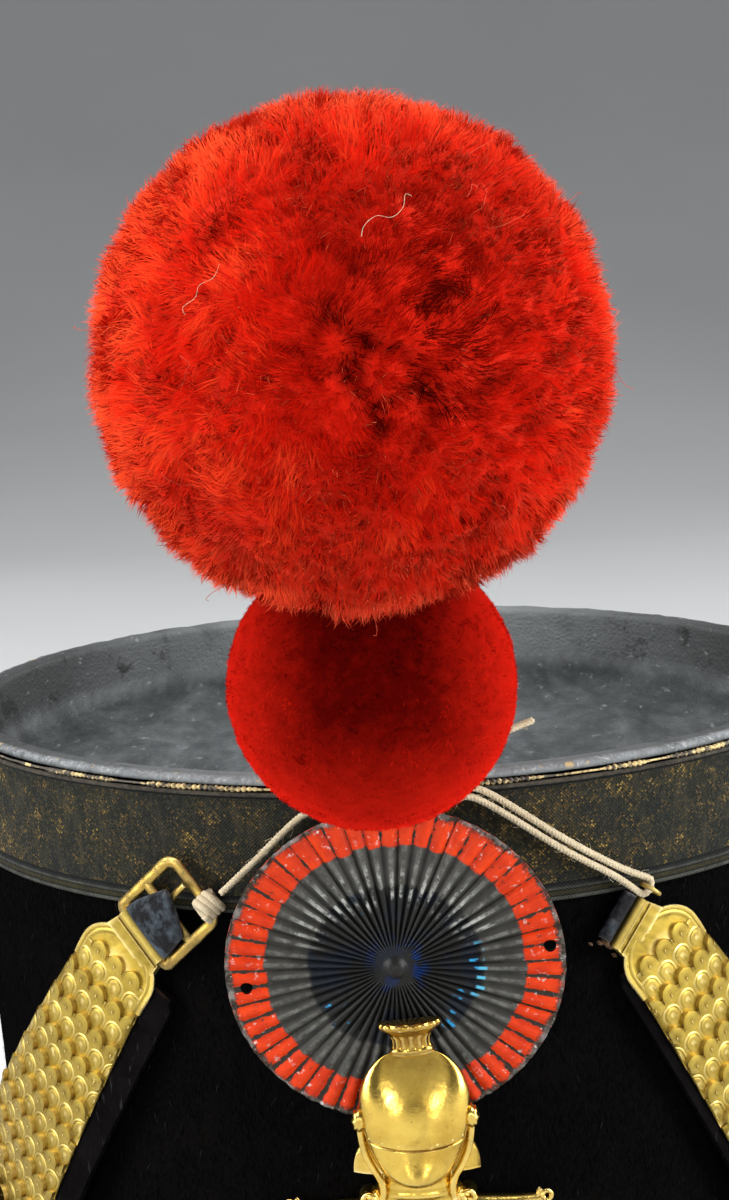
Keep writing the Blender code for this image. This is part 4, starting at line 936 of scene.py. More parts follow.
def makeFootBand(material, threadMaterial):
    angle = circle(360)
    low, gap, thick = bandFootAt(angle), hat["gap"], footBand["thick"]
    top = footBand["top"] + 0 * angle
    rows = []
    for t in np.linspace(0, 1, 12):
        z = low + 0.5 + (top - low - 1.0) * t
        points = wallAt(angle, z, gap + thick)
        groove = 0.22 * bump(z, 21.6, 0.5) + 0.22 * bump(z, 20.3, 0.4)
        rows.append(wallAt(angle, z, gap + thick + 0.12 * rough(points, 15.0, 4.0) - groove))
    rows.append(wallAt(angle, top - 0.05, gap + thick - 0.45))
    rows += [wallAt(angle, top, gap + 0.4), wallAt(angle, top - 0.4, gap), wallAt(angle, low + 0.4, gap),
             wallAt(angle, low, gap + 0.4), wallAt(angle, low, gap + thick - 0.45)]
    addMesh("footBand", np.stack(rows), gridFaces(len(rows), 360, True, True)[:, ::-1], material,
            ["base_band"])
    turn = np.linspace(0, 2 * pi, 200)
    path = surfaceAt(turn, 22.4 + 0 * turn, gap + thick - 0.02)
    lift = lambda spot: np.array([spot[0], spot[1], 0.0]) / np.hypot(spot[0], spot[1])
    stitches = stitchRow(path, footBand["stitch"], footBand["stitchRadius"], lift)
    addParts("footStitches", stitches, threadMaterial)


def makePeak(material, threadMaterial):
    shape = peakShape
    turn = np.linspace(-1, 1, shape["columns"])
    angle = np.radians(shape["halfAngle"]) * turn
    share = np.maximum(np.cos(pi / 2 * turn), 0) ** 0.8
    reach = shape["cornerReach"] + (shape["reach"] - shape["cornerReach"]) * share
    seat = archAt(angle) + shape["seat"]
    thick = shape["thick"]

    def at(part, down):
        z = seat + (thick - seat) * math.sin(pi / 2 * part) ** 1.1
        return wallAt(angle, z - down, hat["gap"] + reach * part)

    top, bottom = [], []
    for part in np.linspace(0, 0.985, shape["rows"]):
        rise = 0.3 * bump(part, 0.93, 0.025) - 0.18 * bump(part, 0.885, 0.012)
        row = at(part, 0.0)
        row[:, 2] += rise * ease(reach, 4, 14) + 0.10 * rough(row, 18.0)
        top.append(row)
        bottom.append(at(part, thick))
    rim = [at(0.995, 0.35), at(1.0, 0.9), at(1.0, thick - 0.7), at(0.994, thick - 0.2)]
    points = np.stack(top + rim + bottom[::-1])
    faces = gridFaces(len(points), shape["columns"], True, False)
    n, rows = shape["columns"], len(points)
    ends = []
    for column in (0, n - 1):
        ring = np.arange(rows) * n + column
        half = rows // 2
        pairs = stacked(ring[:half - 1], ring[1:half], ring[::-1][1:half], ring[::-1][:half - 1])
        ends.append(pairs if column == 0 else pairs[:, ::-1])
    addMesh("peakLeather", points, [faces[:, ::-1], np.concatenate(ends)], material, ["peak"])
    line = at(0.83, -0.02)[8:-8]
    lift = lambda spot: np.array([0.0, -0.25, 0.97])
    addParts("peakStitches", stitchRow(line, 3.2, 0.28, lift), threadMaterial)


# cockade: pleated sheet metal

cockade = {"radius": 37.6, "height": 138.0, "angle": -0.8, "tilt": 6.2, "stand": 5.3, "pleats": 54,
           "ridge": 1.32, "valley": 0.45, "holes": ((-0.88, -0.10), (0.91, 0.10)), "holeRadius": 1.4}


def makeCockade(material):
    shape = cockade
    each = 8
    count = shape["pleats"] * each
    turn = circle(count)
    inPleat = (np.arange(count) % each) / each
    # broad ridge with a narrow valley between each pair
    ridge = ease(np.minimum(inPleat, 1 - inPleat), 0.0, 0.42) ** 0.8
    which = np.arange(count) // each
    dice = np.random.default_rng(11)
    tall = 1 + dice.uniform(-0.10, 0.06, shape["pleats"])
    step = dice.uniform(-1, 1, shape["pleats"])
    radii = np.concatenate([np.linspace(0.35, 4.6, 9), np.linspace(5.2, 27.2, 22),
                            np.linspace(27.9, 36.6, 14), [37.1, 37.45, 37.6]])
    rows, uv = [], []
    for radius in radii:
        deep = ease(radius, 3.0, 9.0)
        lip = 1.0 - 0.25 * ease(radius, 36.8, 37.6)
        wave = shape["valley"] + (shape["ridge"] * tall[which] - shape["valley"]) * ridge
        flat = 1.02 + 0.10 * ease(9.0, radius, 3.0)
        boss = 1.9 * np.sqrt(max(1 - (radius / 2.5) ** 2, 0)) if radius < 2.5 else 0.0
        height = flat + (wave * lip - flat) * deep + boss
        bend = 0.10 * np.sin(3 * turn + 1) * (radius / 37.6) ** 2
        ragged = 0.16 * np.interp(turn, np.linspace(0, 2 * pi, 200), dice.uniform(-1, 1, 200)) * (radius > 37)
        size = radius + ragged
        wobble = 0.006 * np.sin(which * 2.3) * deep
        rows.append(stacked(size * np.cos(turn + wobble), size * np.sin(turn + wobble), height + bend))
        uv.append(stacked(radius / 37.6 + 0.012 * step[which] * (radius > 10), ridge))
    for radius, height in ((37.62, 0.55), (37.3, 0.1), (20.0, 0.0), (3.0, 0.0), (0.35, 0.0)):
        rows.append(stacked(radius * np.cos(turn), radius * np.sin(turn), height))
        uv.append(stacked(np.full(count, 0.6), 0.05))
    points = np.stack(rows)
    faces = gridFaces(len(rows), count, False, True)
    j = np.arange(count)
    middle = np.array([[0, 0, 3.12], [0, 0, 0]])
    start = len(rows) * count
    fans = np.concatenate([stacked(start, j, (j + 1) % count),
                           start - count + stacked(count + 1, (j + 1) % count, j)])
    frameHere = wallFrame(math.radians(shape["angle"]), shape["height"], shape["stand"])
    frameHere = frameHere @ Matrix.Rotation(math.radians(shape["tilt"]), 4, "X")
    points = np.concatenate([points.reshape(-1, 3), middle])
    uv = np.concatenate([np.stack(uv).reshape(-1, 2), [[0.0, 1.0], [0.6, 0.0]]])
    disc = addMesh("cockadeDisc", through(frameHere, points), [faces, fans], material, ["cockade"],
                   uv, sharp=70)
    for x, y in shape["holes"]:
        bpy.ops.mesh.primitive_cylinder_add(vertices=24, radius=shape["holeRadius"] * 0.001, depth=0.012)
        cutter = bpy.context.object
        spot = Matrix(frameHere) @ Vector((x * shape["radius"], y * shape["radius"], 0.5))
        turnIt = frameHere.to_3x3().to_4x4()
        cutter.matrix_world = Matrix.Translation(Vector(toRow(spot))) @ turnIt
        cut = disc.modifiers.new("hole", "BOOLEAN")
        cut.operation, cut.object, cut.solver = "DIFFERENCE", cutter, "EXACT"
        bpy.context.view_layer.objects.active = disc
        bpy.ops.object.modifier_apply(modifier="hole")
        bpy.data.objects.remove(cutter)


# front plate: a closed helmet over a cuirass, stamped in thin sheet

frontPlate = {
    "height": 86.0, "stand": 1.0, "bendRadius": 101.0, "bendFrom": 96.8, "aside": 1.45,
    "helmetMiddle": 106.6, "helmetHalf": 12.35, "helmetDown": 19.7, "helmetUp": 12.6,
    "downPower": 2.45, "upPower": 2.05, "seam": 97.4, "lip": 0.6, "seamRise": 1.3,
    "rivets": (-10.3, -7.4, -3.8, 0.5, 4.5, 7.9, 10.2), "socketTurn": 3.5, "socketLift": 0.7,
    # middle lines on one side, mirrored for the other
    "strip": ((12.35, 102.0, 3.9), (12.3, 98.5, 4.2), (11.5, 94.2, 4.5), (9.9, 90.6, 4.7), (8.3, 87.8, 4.6),
              (7.8, 85.0, 4.5), (8.2, 82.6, 4.4)),
    "arm": ((9.0, 80.6, 2.4), (13.0, 80.6, 2.4), (17.5, 80.2, 2.2), (22.0, 79.8, 2.0), (26.0, 79.6, 2.0),
            (28.4, 79.7, 2.0)),
    "ear": ((1.0, 3.9), (1.0, 4.9), (0.86, 5.7), (0.6, 6.3), (0.3, 6.5), (0.02, 6.55)),
    "shoulder": (11.0, 83.0),
}
# height, half width and how far forward
cuirassRows = ((48.6, 17.6, 3.0), (50.2, 17.2, 3.9), (52.4, 16.1, 4.2), (54.2, 14.9, 4.5), (56.0, 14.6, 4.6),
               (58.8, 15.2, 5.3), (61.8, 16.6, 6.1), (65.4, 18.2, 6.6), (69.1, 19.4, 6.8), (72.6, 20.6, 6.6),
               (75.6, 21.0, 6.0), (77.8, 20.2, 5.5), (79.3, 18.8, 5.0), (81.8, 13.3, 4.6), (83.4, 9.9, 5.0),
               (87.2, 8.9, 5.3), (91.1, 8.4, 5.5))
# how far the helmet stands forward, by height
helmetFront = ((86.9, 5.4), (87.2, 8.6), (87.7, 10.4), (88.5, 11.6), (89.6, 11.95), (91.0, 11.8),
               (93.0, 11.35), (95.0, 11.0), (96.8, 10.75), (98.0, 10.75), (100.0, 10.7), (103.6, 10.45),
               (106.6, 9.95), (109.6, 9.2), (112.0, 8.4), (114.0, 7.6), (116.0, 6.7), (117.5, 6.0),
               (118.6, 5.5), (119.2, 5.3))
socketRows = ((117.4, 4.9, 2.8), (118.4, 5.0, 3.2), (118.9, 4.5, 3.0), (120.0, 4.2, 3.0), (121.2, 4.3, 3.1),
              (122.4, 5.0, 3.4), (123.3, 6.2, 3.9), (123.9, 6.9, 4.2), (124.6, 7.1, 4.3), (125.2, 6.8, 4.0),
              (125.5, 6.2, 3.4))


def platePoint(x, y, z):
    x, y, z = np.broadcast_arrays(np.asarray(x, float), np.asarray(y, float), np.asarray(z, float))
    bend = np.clip((frontPlate["bendFrom"] - y) / 8.0, 0, 1)
    return stacked(x, y - frontPlate["height"], z - bend * x**2 / 2 / frontPlate["bendRadius"])


def backAt(y):
    return np.interp(y, (86.0, 95.0, 104.9, 111.5, 118.8, 125.4), (3.0, 3.1, 3.8, 4.4, 5.1, 6.0))


# a stamped form through rows of height, half width and rise, closed behind
def stamped(rows, columns, fine, fullness, back, relief=None):
    rows = np.array(rows)
    steps = np.linspace(0, len(rows) - 1, fine)
    heights, halves, rises = (np.interp(steps, np.arange(len(rows)), rows[:, k]) for k in range(3))
    for _ in range(2):
        halves[1:-1] = (halves[:-2] + 2 * halves[1:-1] + halves[2:]) / 4
        rises[1:-1] = (rises[:-2] + 2 * rises[1:-1] + rises[2:]) / 4
    turn = np.linspace(0, pi, columns)
    x = -halves[:, None] * np.cos(turn)[None]
    y = np.repeat(heights[:, None], columns, 1)
    z = back(y) + 0.3 + (rises[:, None] - 0.3) * np.sin(turn)[None] ** fullness
    if relief is not None:
        z = z + relief(x / halves[:, None], x, y) * np.sin(turn)[None] ** 0.5
    front = platePoint(x, y, z)
    behind = platePoint(x[:, ::-1], y, back(y))
    return capped(np.concatenate([front, behind], 1))


def knob(x, y, low, high, radius, around=20, flat=0.35):
    rings = [(radius, low)]
    for t in np.linspace(0, pi / 2, 6):
        share = 1 - flat * (1 - math.cos(t)) if t < pi / 2 else 0.0
        rings.append((radius * share, low + (high - low) * math.sin(t)))
    turn = circle(around)
    points = [platePoint(x + r * np.cos(turn), y + r * np.sin(turn), z) for r, z in rings]
    return np.stack(points).reshape(-1, 3), gridFaces(len(rings), around, False, True)


def curl(x, y, z, radius, wire, side, turns=1.6):
    turn = np.linspace(0, 2 * pi * turns, 60)
    size = radius * (1 - 0.62 * turn / turn[-1])
    path = platePoint(x + side * size * np.cos(turn + 2.2), y + size * np.sin(turn + 2.2),
                      z + 0.9 * turn / turn[-1])
    return tube(path, wire, 10, radii=wire * (1 - 0.25 * turn / turn[-1]))


# how far the seam rises towards the helmet's sides
def seamRise(x):
    return frontPlate["seamRise"] * (x / 12.0) ** 2


# the helmet: an egg with a lower face piece that overlaps it at a riveted seam
def helmetParts():
    shape = frontPlate
    seam, low, high = shape["seam"] - shape["lip"], shape["helmetDown"], shape["helmetUp"]
    tall = np.cos(np.linspace(0.02, pi - 0.02, 66))
    y = shape["helmetMiddle"] - np.where(tall > 0, low, high) * tall
    y = np.sort(np.concatenate([y, seam + np.array([-0.34, -0.15, -0.05, 0.03, 0.12, 0.26])]))
    tall = (shape["helmetMiddle"] - y) / np.where(y < shape["helmetMiddle"], low, high)
    power = np.where(tall > 0, shape["downPower"], shape["upPower"])
    half = shape["helmetHalf"] * np.clip(1 - np.abs(tall) ** power, 0, 1) ** (1 / power)
    heights, stands = np.array(helmetFront).T
    even = np.linspace(heights[0], heights[-1], 133)
    smooth = np.interp(even, heights, stands)
    for _ in range(10):
        smooth[1:-1] = (smooth[:-2] + 2 * smooth[1:-1] + smooth[2:]) / 4
    rise = np.interp(y, even, smooth) - backAt(y)
    turn = np.linspace(0, pi, 70)
    x = -half[:, None] * np.cos(turn)[None]
    y = y[:, None] + seamRise(x) * bump(y[:, None], seam, 6.0)
    z = backAt(y) + 0.5 + (rise[:, None] - 0.5) * np.sin(turn)[None] ** 0.95
    past = y - shape["seam"] - seamRise(x) + shape["lip"]
    z += 0.20 * (ease(past, 0.03, -0.13) - bump(past, 0.08, 0.14)) * np.sin(turn)[None] ** 0.4
    z += 0.05 * rough(stacked(x, y, z), 5.0, 8.0)
    behind = platePoint(x[:, ::-1], y, backAt(y))
    points = np.concatenate([platePoint(x, y, z), behind], 1)
    parts = [(points, gridFaces(len(points), 140, False, True))]
    for x in shape["rivets"]:
        y = shape["seam"] + seamRise(x) + 0.35
        lift = float(backAt(y)) + 7.15 * max(1 - (x / 11.6) ** 2, 0) ** 0.475
        parts.append(knob(x, y, lift - 0.6, lift + 0.32, 0.42, 12, 0.5))
    return parts


# cuirass with a rolled neck, a ridge, borders and a lapped skirt
def cuirassParts():
    def relief(share, x, y):
        out = 0.5 * bump(x, 0.0, 1.1) * ease(y, 57, 61) * ease(82, y, 78)
        out = out + 0.55 * bump(np.abs(share), 0.86, 0.05) * ease(y, 58, 60) * ease(81, y, 77)
        sag = 0.012 * x**2
        out = out - 0.45 * bump(y, 57.2, 0.28) - 0.4 * bump(y, 53.6 - sag, 0.28)
        out = out - 0.4 * bump(y, 50.6 - sag, 0.28)
        out = out + 0.5 * bump(y, 83.6 + 0.01 * x**2, 0.6) + 0.4 * bump(y, 86.0, 0.35)
        return out + 0.9 * bump(np.abs(x), 8.5, 5.5) * bump(y, 71.5, 5.5)

    parts = [stamped(cuirassRows, 56, 84, 0.85, lambda y: 0 * y, relief)]
    for side in (-1, 1):
        for k in range(7):
            parts.append(knob(side * (14.3 + 0.55 * k), 60.5 + 2.35 * k, 1.2, 3.6 + 0.12 * k, 0.5, 10, 0.5))
    return parts


# socket for a plume, fluted and rolled over at its mouth
def socketPart():
    def flutes(share, x, y):
        waves = 0.32 * np.cos(14 * np.arcsin(np.clip(share, -1, 1)))
        return waves * ease(y, 118.8, 119.6) * ease(123.2, y, 122.0)

    points, faces = stamped(socketRows, 60, 44, 0.9, backAt, flutes)
    points[:, 1] += frontPlate["socketLift"]
    lean = math.radians(frontPlate["socketTurn"])
    pivot = np.array([0.0, 118.0 - frontPlate["height"], 0.0])
    spin = np.array([[math.cos(lean), -math.sin(lean), 0], [math.sin(lean), math.cos(lean), 0], [0, 0, 1]])
    return (points - pivot) @ spin.T + pivot, faces


def neckFlap(side):
    rows = []
    for t in np.linspace(0, 1, 14):
        inner = np.array([9.4 + 1.6 * (1 - t) - 1.6 * t, 97.2 - 8.0 * t])
        outer = np.array([12.2 + 2.0 * math.sin(t * 1.7), 97.0 - 6.6 * t - 0.8 * t**3])
        share = np.linspace(0, 1, 8)
        x, y = inner[:, None] + (outer - inner)[:, None] * share
        z = 4.0 + 0.7 * np.sin(pi * share) + 0.3 * t
        rows.append(np.concatenate([platePoint(side * x, y, z), platePoint(side * x[::-1], y[::-1], 2.8)]))
    return capped(rows)


# strip from the ear to the neck, neck flap, ribbed ear, shoulder with its curl, and arm with its scroll
def plateSide(side):
    shape = frontPlate
    parts = [tube(smoothPath([platePoint(side * x, y, z) for x, y, z in shape["strip"]], 0.6), 0.85, 12),
             neckFlap(side)]
    turn = circle(40)
    rings = []
    for share, lift in shape["ear"]:
        ribs = 1 + 0.07 * np.cos(8 * turn) * (share > 0.5)
        x, y = 1.75 * share * ribs * np.cos(turn), 2.7 * share * ribs * np.sin(turn)
        rings.append(platePoint(side * 12.5 + x, 102.3 + y, lift))
    parts.append((rings, gridFaces(len(rings), 40, False, True)))
    x, y = shape["shoulder"]
    parts += [curl(side * x, y, 4.2, 1.9, 0.85, side), knob(side * x, y, 0.3, 4.4, 2.2, 24)]
    path = smoothPath([platePoint(side * x, y, z) for x, y, z in shape["arm"]], 0.7)
    parts += [tube(path, 1.0, 14, radii=np.linspace(2.1, 1.15, len(path))),
              curl(side * 28.8, 80.3, 2.2, 1.75, 0.75, side, 1.3)]
    return parts


def makeFrontPlate(material):
    parts = helmetParts() + cuirassParts() + [socketPart()] + plateSide(-1) + plateSide(1)
    points, faces = gather(parts)
    points[:, 0] += frontPlate["aside"]
    where = wallFrame(0.0, frontPlate["height"], frontPlate["stand"])
    addParts("frontPlate", [(points, faces)], material, ["front_plate"], where, 60)


# pompoms of wool: a core, and strips of hair that stand on it

tuft = {"centre": (-5.0, -145.3, 275.2), "radius": 53.4, "hairs": 108000, "pieces": 3, "length": 5.4,
        "width": 0.20, "whorl": (-3.5, 8.0), "comb": 0.62, "bigClumps": 380, "smallClumps": 9000,
        "mound": 0.9, "buried": 2.3, "hollow": ((12.0, 2.0), 0.30, 2.6),
        "parting": ((-4.5, 6.0), 0.10, 2.4),
        # the flattened foot and the lump in it; directions seen from the middle
        "foot": (0.0, -0.306, -0.952), "footWidth": 0.40, "footDepth": 2.9, "lumpAt": 2.5, "lumpHalf": 9.8,
        "front": (0.20, -1.0, 0.04), "paintedShadeAt": (0.31, -0.85, 0.42), "paintedShadeWidth": 0.56,
        "lit": (-0.6, -0.2, 0.75)}
ball = {"centre": (-3.8, -130.5, 204.8), "radius": 31.3, "hairs": 30000, "length": 1.9, "width": 0.18,
        "clumps": 2400, "comb": (0.3, 0.0, -1.0), "paintedShadeAt": (0.15, -0.84, 0.53), "paintedShadeWidth": 0.58}
collar = {"radius": 10.4, "height": 6.4, "hairs": 2200}


def evenDirections(count, dice, jitter=0.0):
    k = np.arange(count) + 0.5
    level = 1 - 2 * k / count
    turn = pi * (3 - math.sqrt(5)) * k
    flat = np.sqrt(1 - level**2)
    points = stacked(flat * np.cos(turn), flat * np.sin(turn), level)
    points += dice.normal(0, jitter, points.shape)
    return points / np.linalg.norm(points, axis=1, keepdims=True)


def unit(v):
    return v / np.maximum(np.linalg.norm(v, axis=-1, keepdims=True), 1e-9)


def nearest(points, centres):
    found = np.empty(len(points), int)
    for k in range(0, len(points), 4000):
        found[k:k + 4000] = np.argmax(points[k:k + 4000] @ centres.T, 1)
    return found


# hairs from root, middle and tip points: flat strips that narrow to the tip and face outwards
def hairPiece(name, root, middle, tip, width, tone, facing, material, dice):
    count = len(root)
    side = unit(np.cross(unit(tip - root), unit(facing + dice.normal(0, 0.25, root.shape)))) * width
    corners = [root - 0.5 * side, root + 0.5 * side, middle - 0.42 * side, middle + 0.42 * side, tip]
    points = np.stack(corners, 1)
    base = np.arange(count)[:, None] * 5
    uv = np.zeros((count, 5, 2))
    uv[:, :, 0] = np.array([0.0, 0.0, 0.55, 0.55, 1.0])
    uv[:, :, 1] = 0.004 + 0.985 * np.clip(tone, 0, 1)[:, None] + np.array([0.0, 0.008, 0.0, 0.008, 0.004])
    piece = addMesh(name, points, [base + np.array([[0, 1, 3, 2]]), base + np.array([[2, 3, 4]])], material,
                    uv=uv, uvName="OFBake", sharp=0)
    normals = unit(facing + dice.normal(0, 0.07, facing.shape))
    piece.data.normals_split_custom_set_from_vertices(np.repeat(normals, 5, 0).tolist())
    print(name, count, "hairs")


def coreBall(name, centre, size, material, nodes, rows, columns):
    v = np.linspace(0.01, pi - 0.01, rows)
    u = circle(columns)
    out = stacked(np.sin(v)[:, None] * np.cos(u), np.sin(v)[:, None] * np.sin(u), np.cos(v)[:, None])
    radius = size(out.reshape(-1, 3)).reshape(rows, columns, 1)
    addMesh(name, np.array(centre) + out * radius, gridFaces(rows, columns, False, True), material,
            nodes, sharp=0)


def pushOff(points, centre, radius):
    away = points - np.array(centre)
    far = np.linalg.norm(away, axis=-1, keepdims=True)
    return np.where(far < radius, np.array(centre) + away / far * radius, points)


def tangent(v, out):
    return v - out * (v * out).sum(-1, keepdims=True)


# share from 1 at a direction to 0 well away from it
def nearness(out, spot, width):
    return np.exp(-(np.arccos(np.clip(out @ spot, -1, 1)) / width) ** 2)


def makeTuft(hair, wool):
    shape = tuft
    dice = np.random.default_rng(17)
    turn, rise = (math.radians(a) for a in shape["whorl"])
    whorl = np.array([math.sin(turn) * math.cos(rise), -math.cos(turn) * math.cos(rise), math.sin(rise)])
    centre = np.array(shape["centre"])
    front, paintedShadeAt, lit = (unit(np.array(shape[key])) for key in ("front", "paintedShadeAt", "lit"))
    big = evenDirections(shape["bigClumps"], dice, 0.035)
    small = evenDirections(shape["smallClumps"], dice, 0.012)
    bigRise = dice.normal(0, 0.45, len(big))
    bigLean, smallLean = dice.normal(0, 0.33, big.shape), dice.normal(0, 0.30, small.shape)
    bigTone, smallTone = dice.normal(0, 0.07, len(big)), dice.normal(0, 0.07, len(small))

    # share of each hollow in which the hair parts; its roots there are painted darker as shade
    def openness(out):
        total = 0.0
        for (x, z), width, depth in (shape["hollow"], shape["parting"]):
            spot = np.array([x, -math.sqrt(shape["radius"] ** 2 - x * x - z * z), z]) / shape["radius"]
            total = total + depth * nearness(out, spot, width)
        return total

    def footAt(out):
        return nearness(out, np.array(shape["foot"]), shape["footWidth"])

    def moundsAt(out):
        near = nearest(out, big)
        away = tangent(out - big[near], out) * shape["radius"]
        far = np.linalg.norm(away, axis=1)
        crease = ease(far, 2.2, 6.8)
        height = bigRise[near] - shape["mound"] * crease + 0.8 * rough(out * shape["radius"], 9.0, 2.0)
        height -= openness(out) * (0.25 + 0.9 * crease + 0.8 * rough(out * shape["radius"], 4.5, 6.0))
        lump = np.exp(-((out[:, 0] * shape["radius"] - shape["lumpAt"]) / shape["lumpHalf"]) ** 4)
        height -= shape["footDepth"] * footAt(out) * (1 - lump)
        return near, away, crease, height

    coreBall("tuftCore", centre, lambda out: shape["radius"] - shape["buried"] + moundsAt(out)[3], wool,
             ["pompom_tuft"], 110, 170)
    down = unit(np.array(ball["centre"]) - centre)
    for k in range(shape["pieces"]):
        count = shape["hairs"] // shape["pieces"]
        out = unit(dice.normal(0, 1, (count, 3)))
        near, away, crease, height = moundsAt(out)
        nearSmall = nearest(out, small)
        comb = unit(tangent(-whorl, out))
        strong = shape["comb"] * (0.22 + 0.78 * nearness(out, whorl, 0.62))
        lean = comb * strong[:, None] + tangent(bigLean[near] + smallLean[nearSmall], out)
        lean = lean + 0.10 * away * crease[:, None]
        lean = lean + tangent(dice.normal(0, 0.14, out.shape), out)
        length = shape["length"] * dice.uniform(0.75, 1.2, count)
        surface = shape["radius"] + height + dice.normal(0, 0.35, count) - 0.5 * dice.exponential(0.5, count)
        root = centre + out * (surface - 3.6)[:, None]
        root = root + tangent(small[nearSmall] - out, out) * 8.0
        rise = length / np.sqrt(1 + (lean**2).sum(1))
        tip = root + out * rise[:, None] + lean * rise[:, None]
        reach = np.minimum(np.linalg.norm(tip - centre, axis=1), surface + dice.uniform(0.3, 1.7, count))
        tip = centre + unit(tip - centre) * reach[:, None]
        middle = root + out * (0.58 * rise)[:, None] + lean * (0.36 * rise)[:, None]
        root, middle, tip = (pushOff(p, ball["centre"], ball["radius"] + 1.4) for p in (root, middle, tip))
        tone = 0.61 + 0.04 * dice.normal(0, 1, count) + 0.55 * smallTone[nearSmall] + 0.6 * bigTone[near]
        # painted shade in the creases between mounds and in the hollows
        tone -= 0.09 * crease
        tone += 0.12 * rough(out * shape["radius"], 13.0, 4.0) - 0.20 * openness(out) * (0.3 + crease)
        # painted light towards the rim as seen from the front, and painted shade on the underside over the
        # ball
        tone += 0.15 * ease(1.0 - out @ front, 0.35, 1.0)
        tone -= 0.14 * ease(out @ down, 0.74, 0.94)
        # painted shade where, seen from the front, the shorn ends look darkest, right of the whorl
        tone -= 0.46 * nearness(out, paintedShadeAt, shape["paintedShadeWidth"])
        # painted shade in the crease round the lump in the foot
        tone -= 0.30 * footAt(out) * bump(np.abs(out[:, 0] * shape["radius"] - shape["lumpAt"]), 10.4, 1.5)
        # painted light from above left
        tone += 0.06 * (out @ lit)
        facing = out + 0.075 * away * ease(crease, 0.0, 0.5)[:, None]
        facing = unit(facing + 0.12 * tangent(smallLean[nearSmall], out))
        hairPiece(f"tuftHair{k + 1}", root, middle, tip, shape["width"], tone, facing, hair, dice)


def makeBall(hair, wool, dice):
    shape = ball
    centre = np.array(shape["centre"])

    def coreSize(out):
        return shape["radius"] - 0.75 + 0.35 * rough(out * shape["radius"], 6.0, 4.0)

    coreBall("ballCore", centre, coreSize, wool, ["pompom_ball"], 70, 110)
    count = shape["hairs"]
    out = unit(dice.normal(0, 1, (count, 3)))
    clumps = evenDirections(shape["clumps"], dice, 0.02)
    near = nearest(out, clumps)
    lean = tangent(dice.normal(0, 0.5, clumps.shape)[near] + dice.normal(0, 0.35, out.shape), out)
    lean = lean + 0.35 * tangent(np.array(shape["comb"]), out)
    crush = rough(out * shape["radius"], 6.0, 4.0)
    surface = shape["radius"] - 0.2 + 0.35 * crush - 0.2 * dice.exponential(0.6, count)
    rise = shape["length"] * dice.uniform(0.7, 1.2, count) / np.sqrt(1 + (lean**2).sum(1))
    tip = centre + out * surface[:, None] + lean * rise[:, None]
    root = tip - out * rise[:, None] - lean * rise[:, None]
    middle = (root + tip) / 2 + out * 0.12
    tone = 0.52 + 0.06 * dice.normal(0, 1, count) + 0.40 * crush
    tone += 0.18 * rough(out * shape["radius"], 2.0, 1.0)
    tone += 0.10 * dice.normal(0, 1, len(clumps))[near]
    tone += 0.14 * rough(out * shape["radius"], 4.0, 2.0)
    # painted light makes the sides and foot bright; painted shadow makes the pile under the tuft dark
    left, right = ease(-out[:, 0], 0.30, 0.95), ease(out[:, 0], 0.30, 0.95)
    below = ease(-out[:, 2], 0.0, 0.62)
    tone += 0.34 * left + 0.46 * right + 0.36 * below
    tone -= 0.55 * nearness(out, unit(np.array(shape["paintedShadeAt"])), shape["paintedShadeWidth"])
    hairPiece("ballNap", root, middle, tip, shape["width"], tone, unit(out + 0.10 * lean), hair, dice)


# collar between the two, with its own short nap
def makeCollar(hair, cloth, dice):
    centre = np.array(ball["centre"])
    axis = Vector(unit(np.array(tuft["centre"]) - centre))
    turnIt = np.array(axis.to_track_quat("Z", "Y").to_matrix())
    foot = ball["radius"] + 0.3
    r, h = collar["radius"], collar["height"]
    profile = [(0.2, foot), (r - 2.0, foot), (r - 0.6, foot + 0.6), (r, foot + 1.7), (r + 0.05, foot + 3.0),
               (r, h + foot - 1.5), (r - 0.5, h + foot - 0.5), (r - 1.3, h + foot), (0.2, h + foot)]
    u = circle(64)
    points = np.array([[(a * math.cos(t), a * math.sin(t), b) for t in u] for a, b in profile])
    points = points + 0.15 * rough(points, 2.5)[..., None]
    points = points @ turnIt.T + centre
    addMesh("collarCloth", points, gridFaces(len(profile), 64, False, True), cloth, ["pompom_collar"],
            sharp=0)
    count = collar["hairs"]
    u = dice.uniform(0, 2 * pi, count)
    z = foot + dice.uniform(0.3, h - 0.2, count)
    away = stacked(np.cos(u), np.sin(u), 0.0)
    root = away * (r - 0.3) + np.array([0, 0, 1.0]) * z[:, None]
    tip = root + away * dice.uniform(0.4, 0.9, count)[:, None] + dice.normal(0, 0.25, root.shape)
    root, tip, away = root @ turnIt.T + centre, tip @ turnIt.T + centre, away @ turnIt.T
    hairPiece("collarNap", root, (root + tip) / 2, tip, 0.18, dice.normal(0.3, 0.10, count), away, hair, dice)


# loose single hairs that stand out of the tuft
flyaways = {"count": 46, "radius": 0.055, "long": (7.0, 17.0), "keep": 4.0, "paleRadius": 0.045,
            # the two long pale hairs, aside and up from the tuft's middle
            "pale": (((3.2, 26.6), (3.9, 28.6), (6.2, 30.2), (9.0, 29.8), (11.2, 31.4), (11.8, 33.8),
                      (13.0, 33.4)),
                     ((-30.6, 13.2), (-30.9, 14.6), (-28.4, 16.4), (-27.6, 18.6), (-24.8, 20.0),
                      (-23.6, 22.4)))}


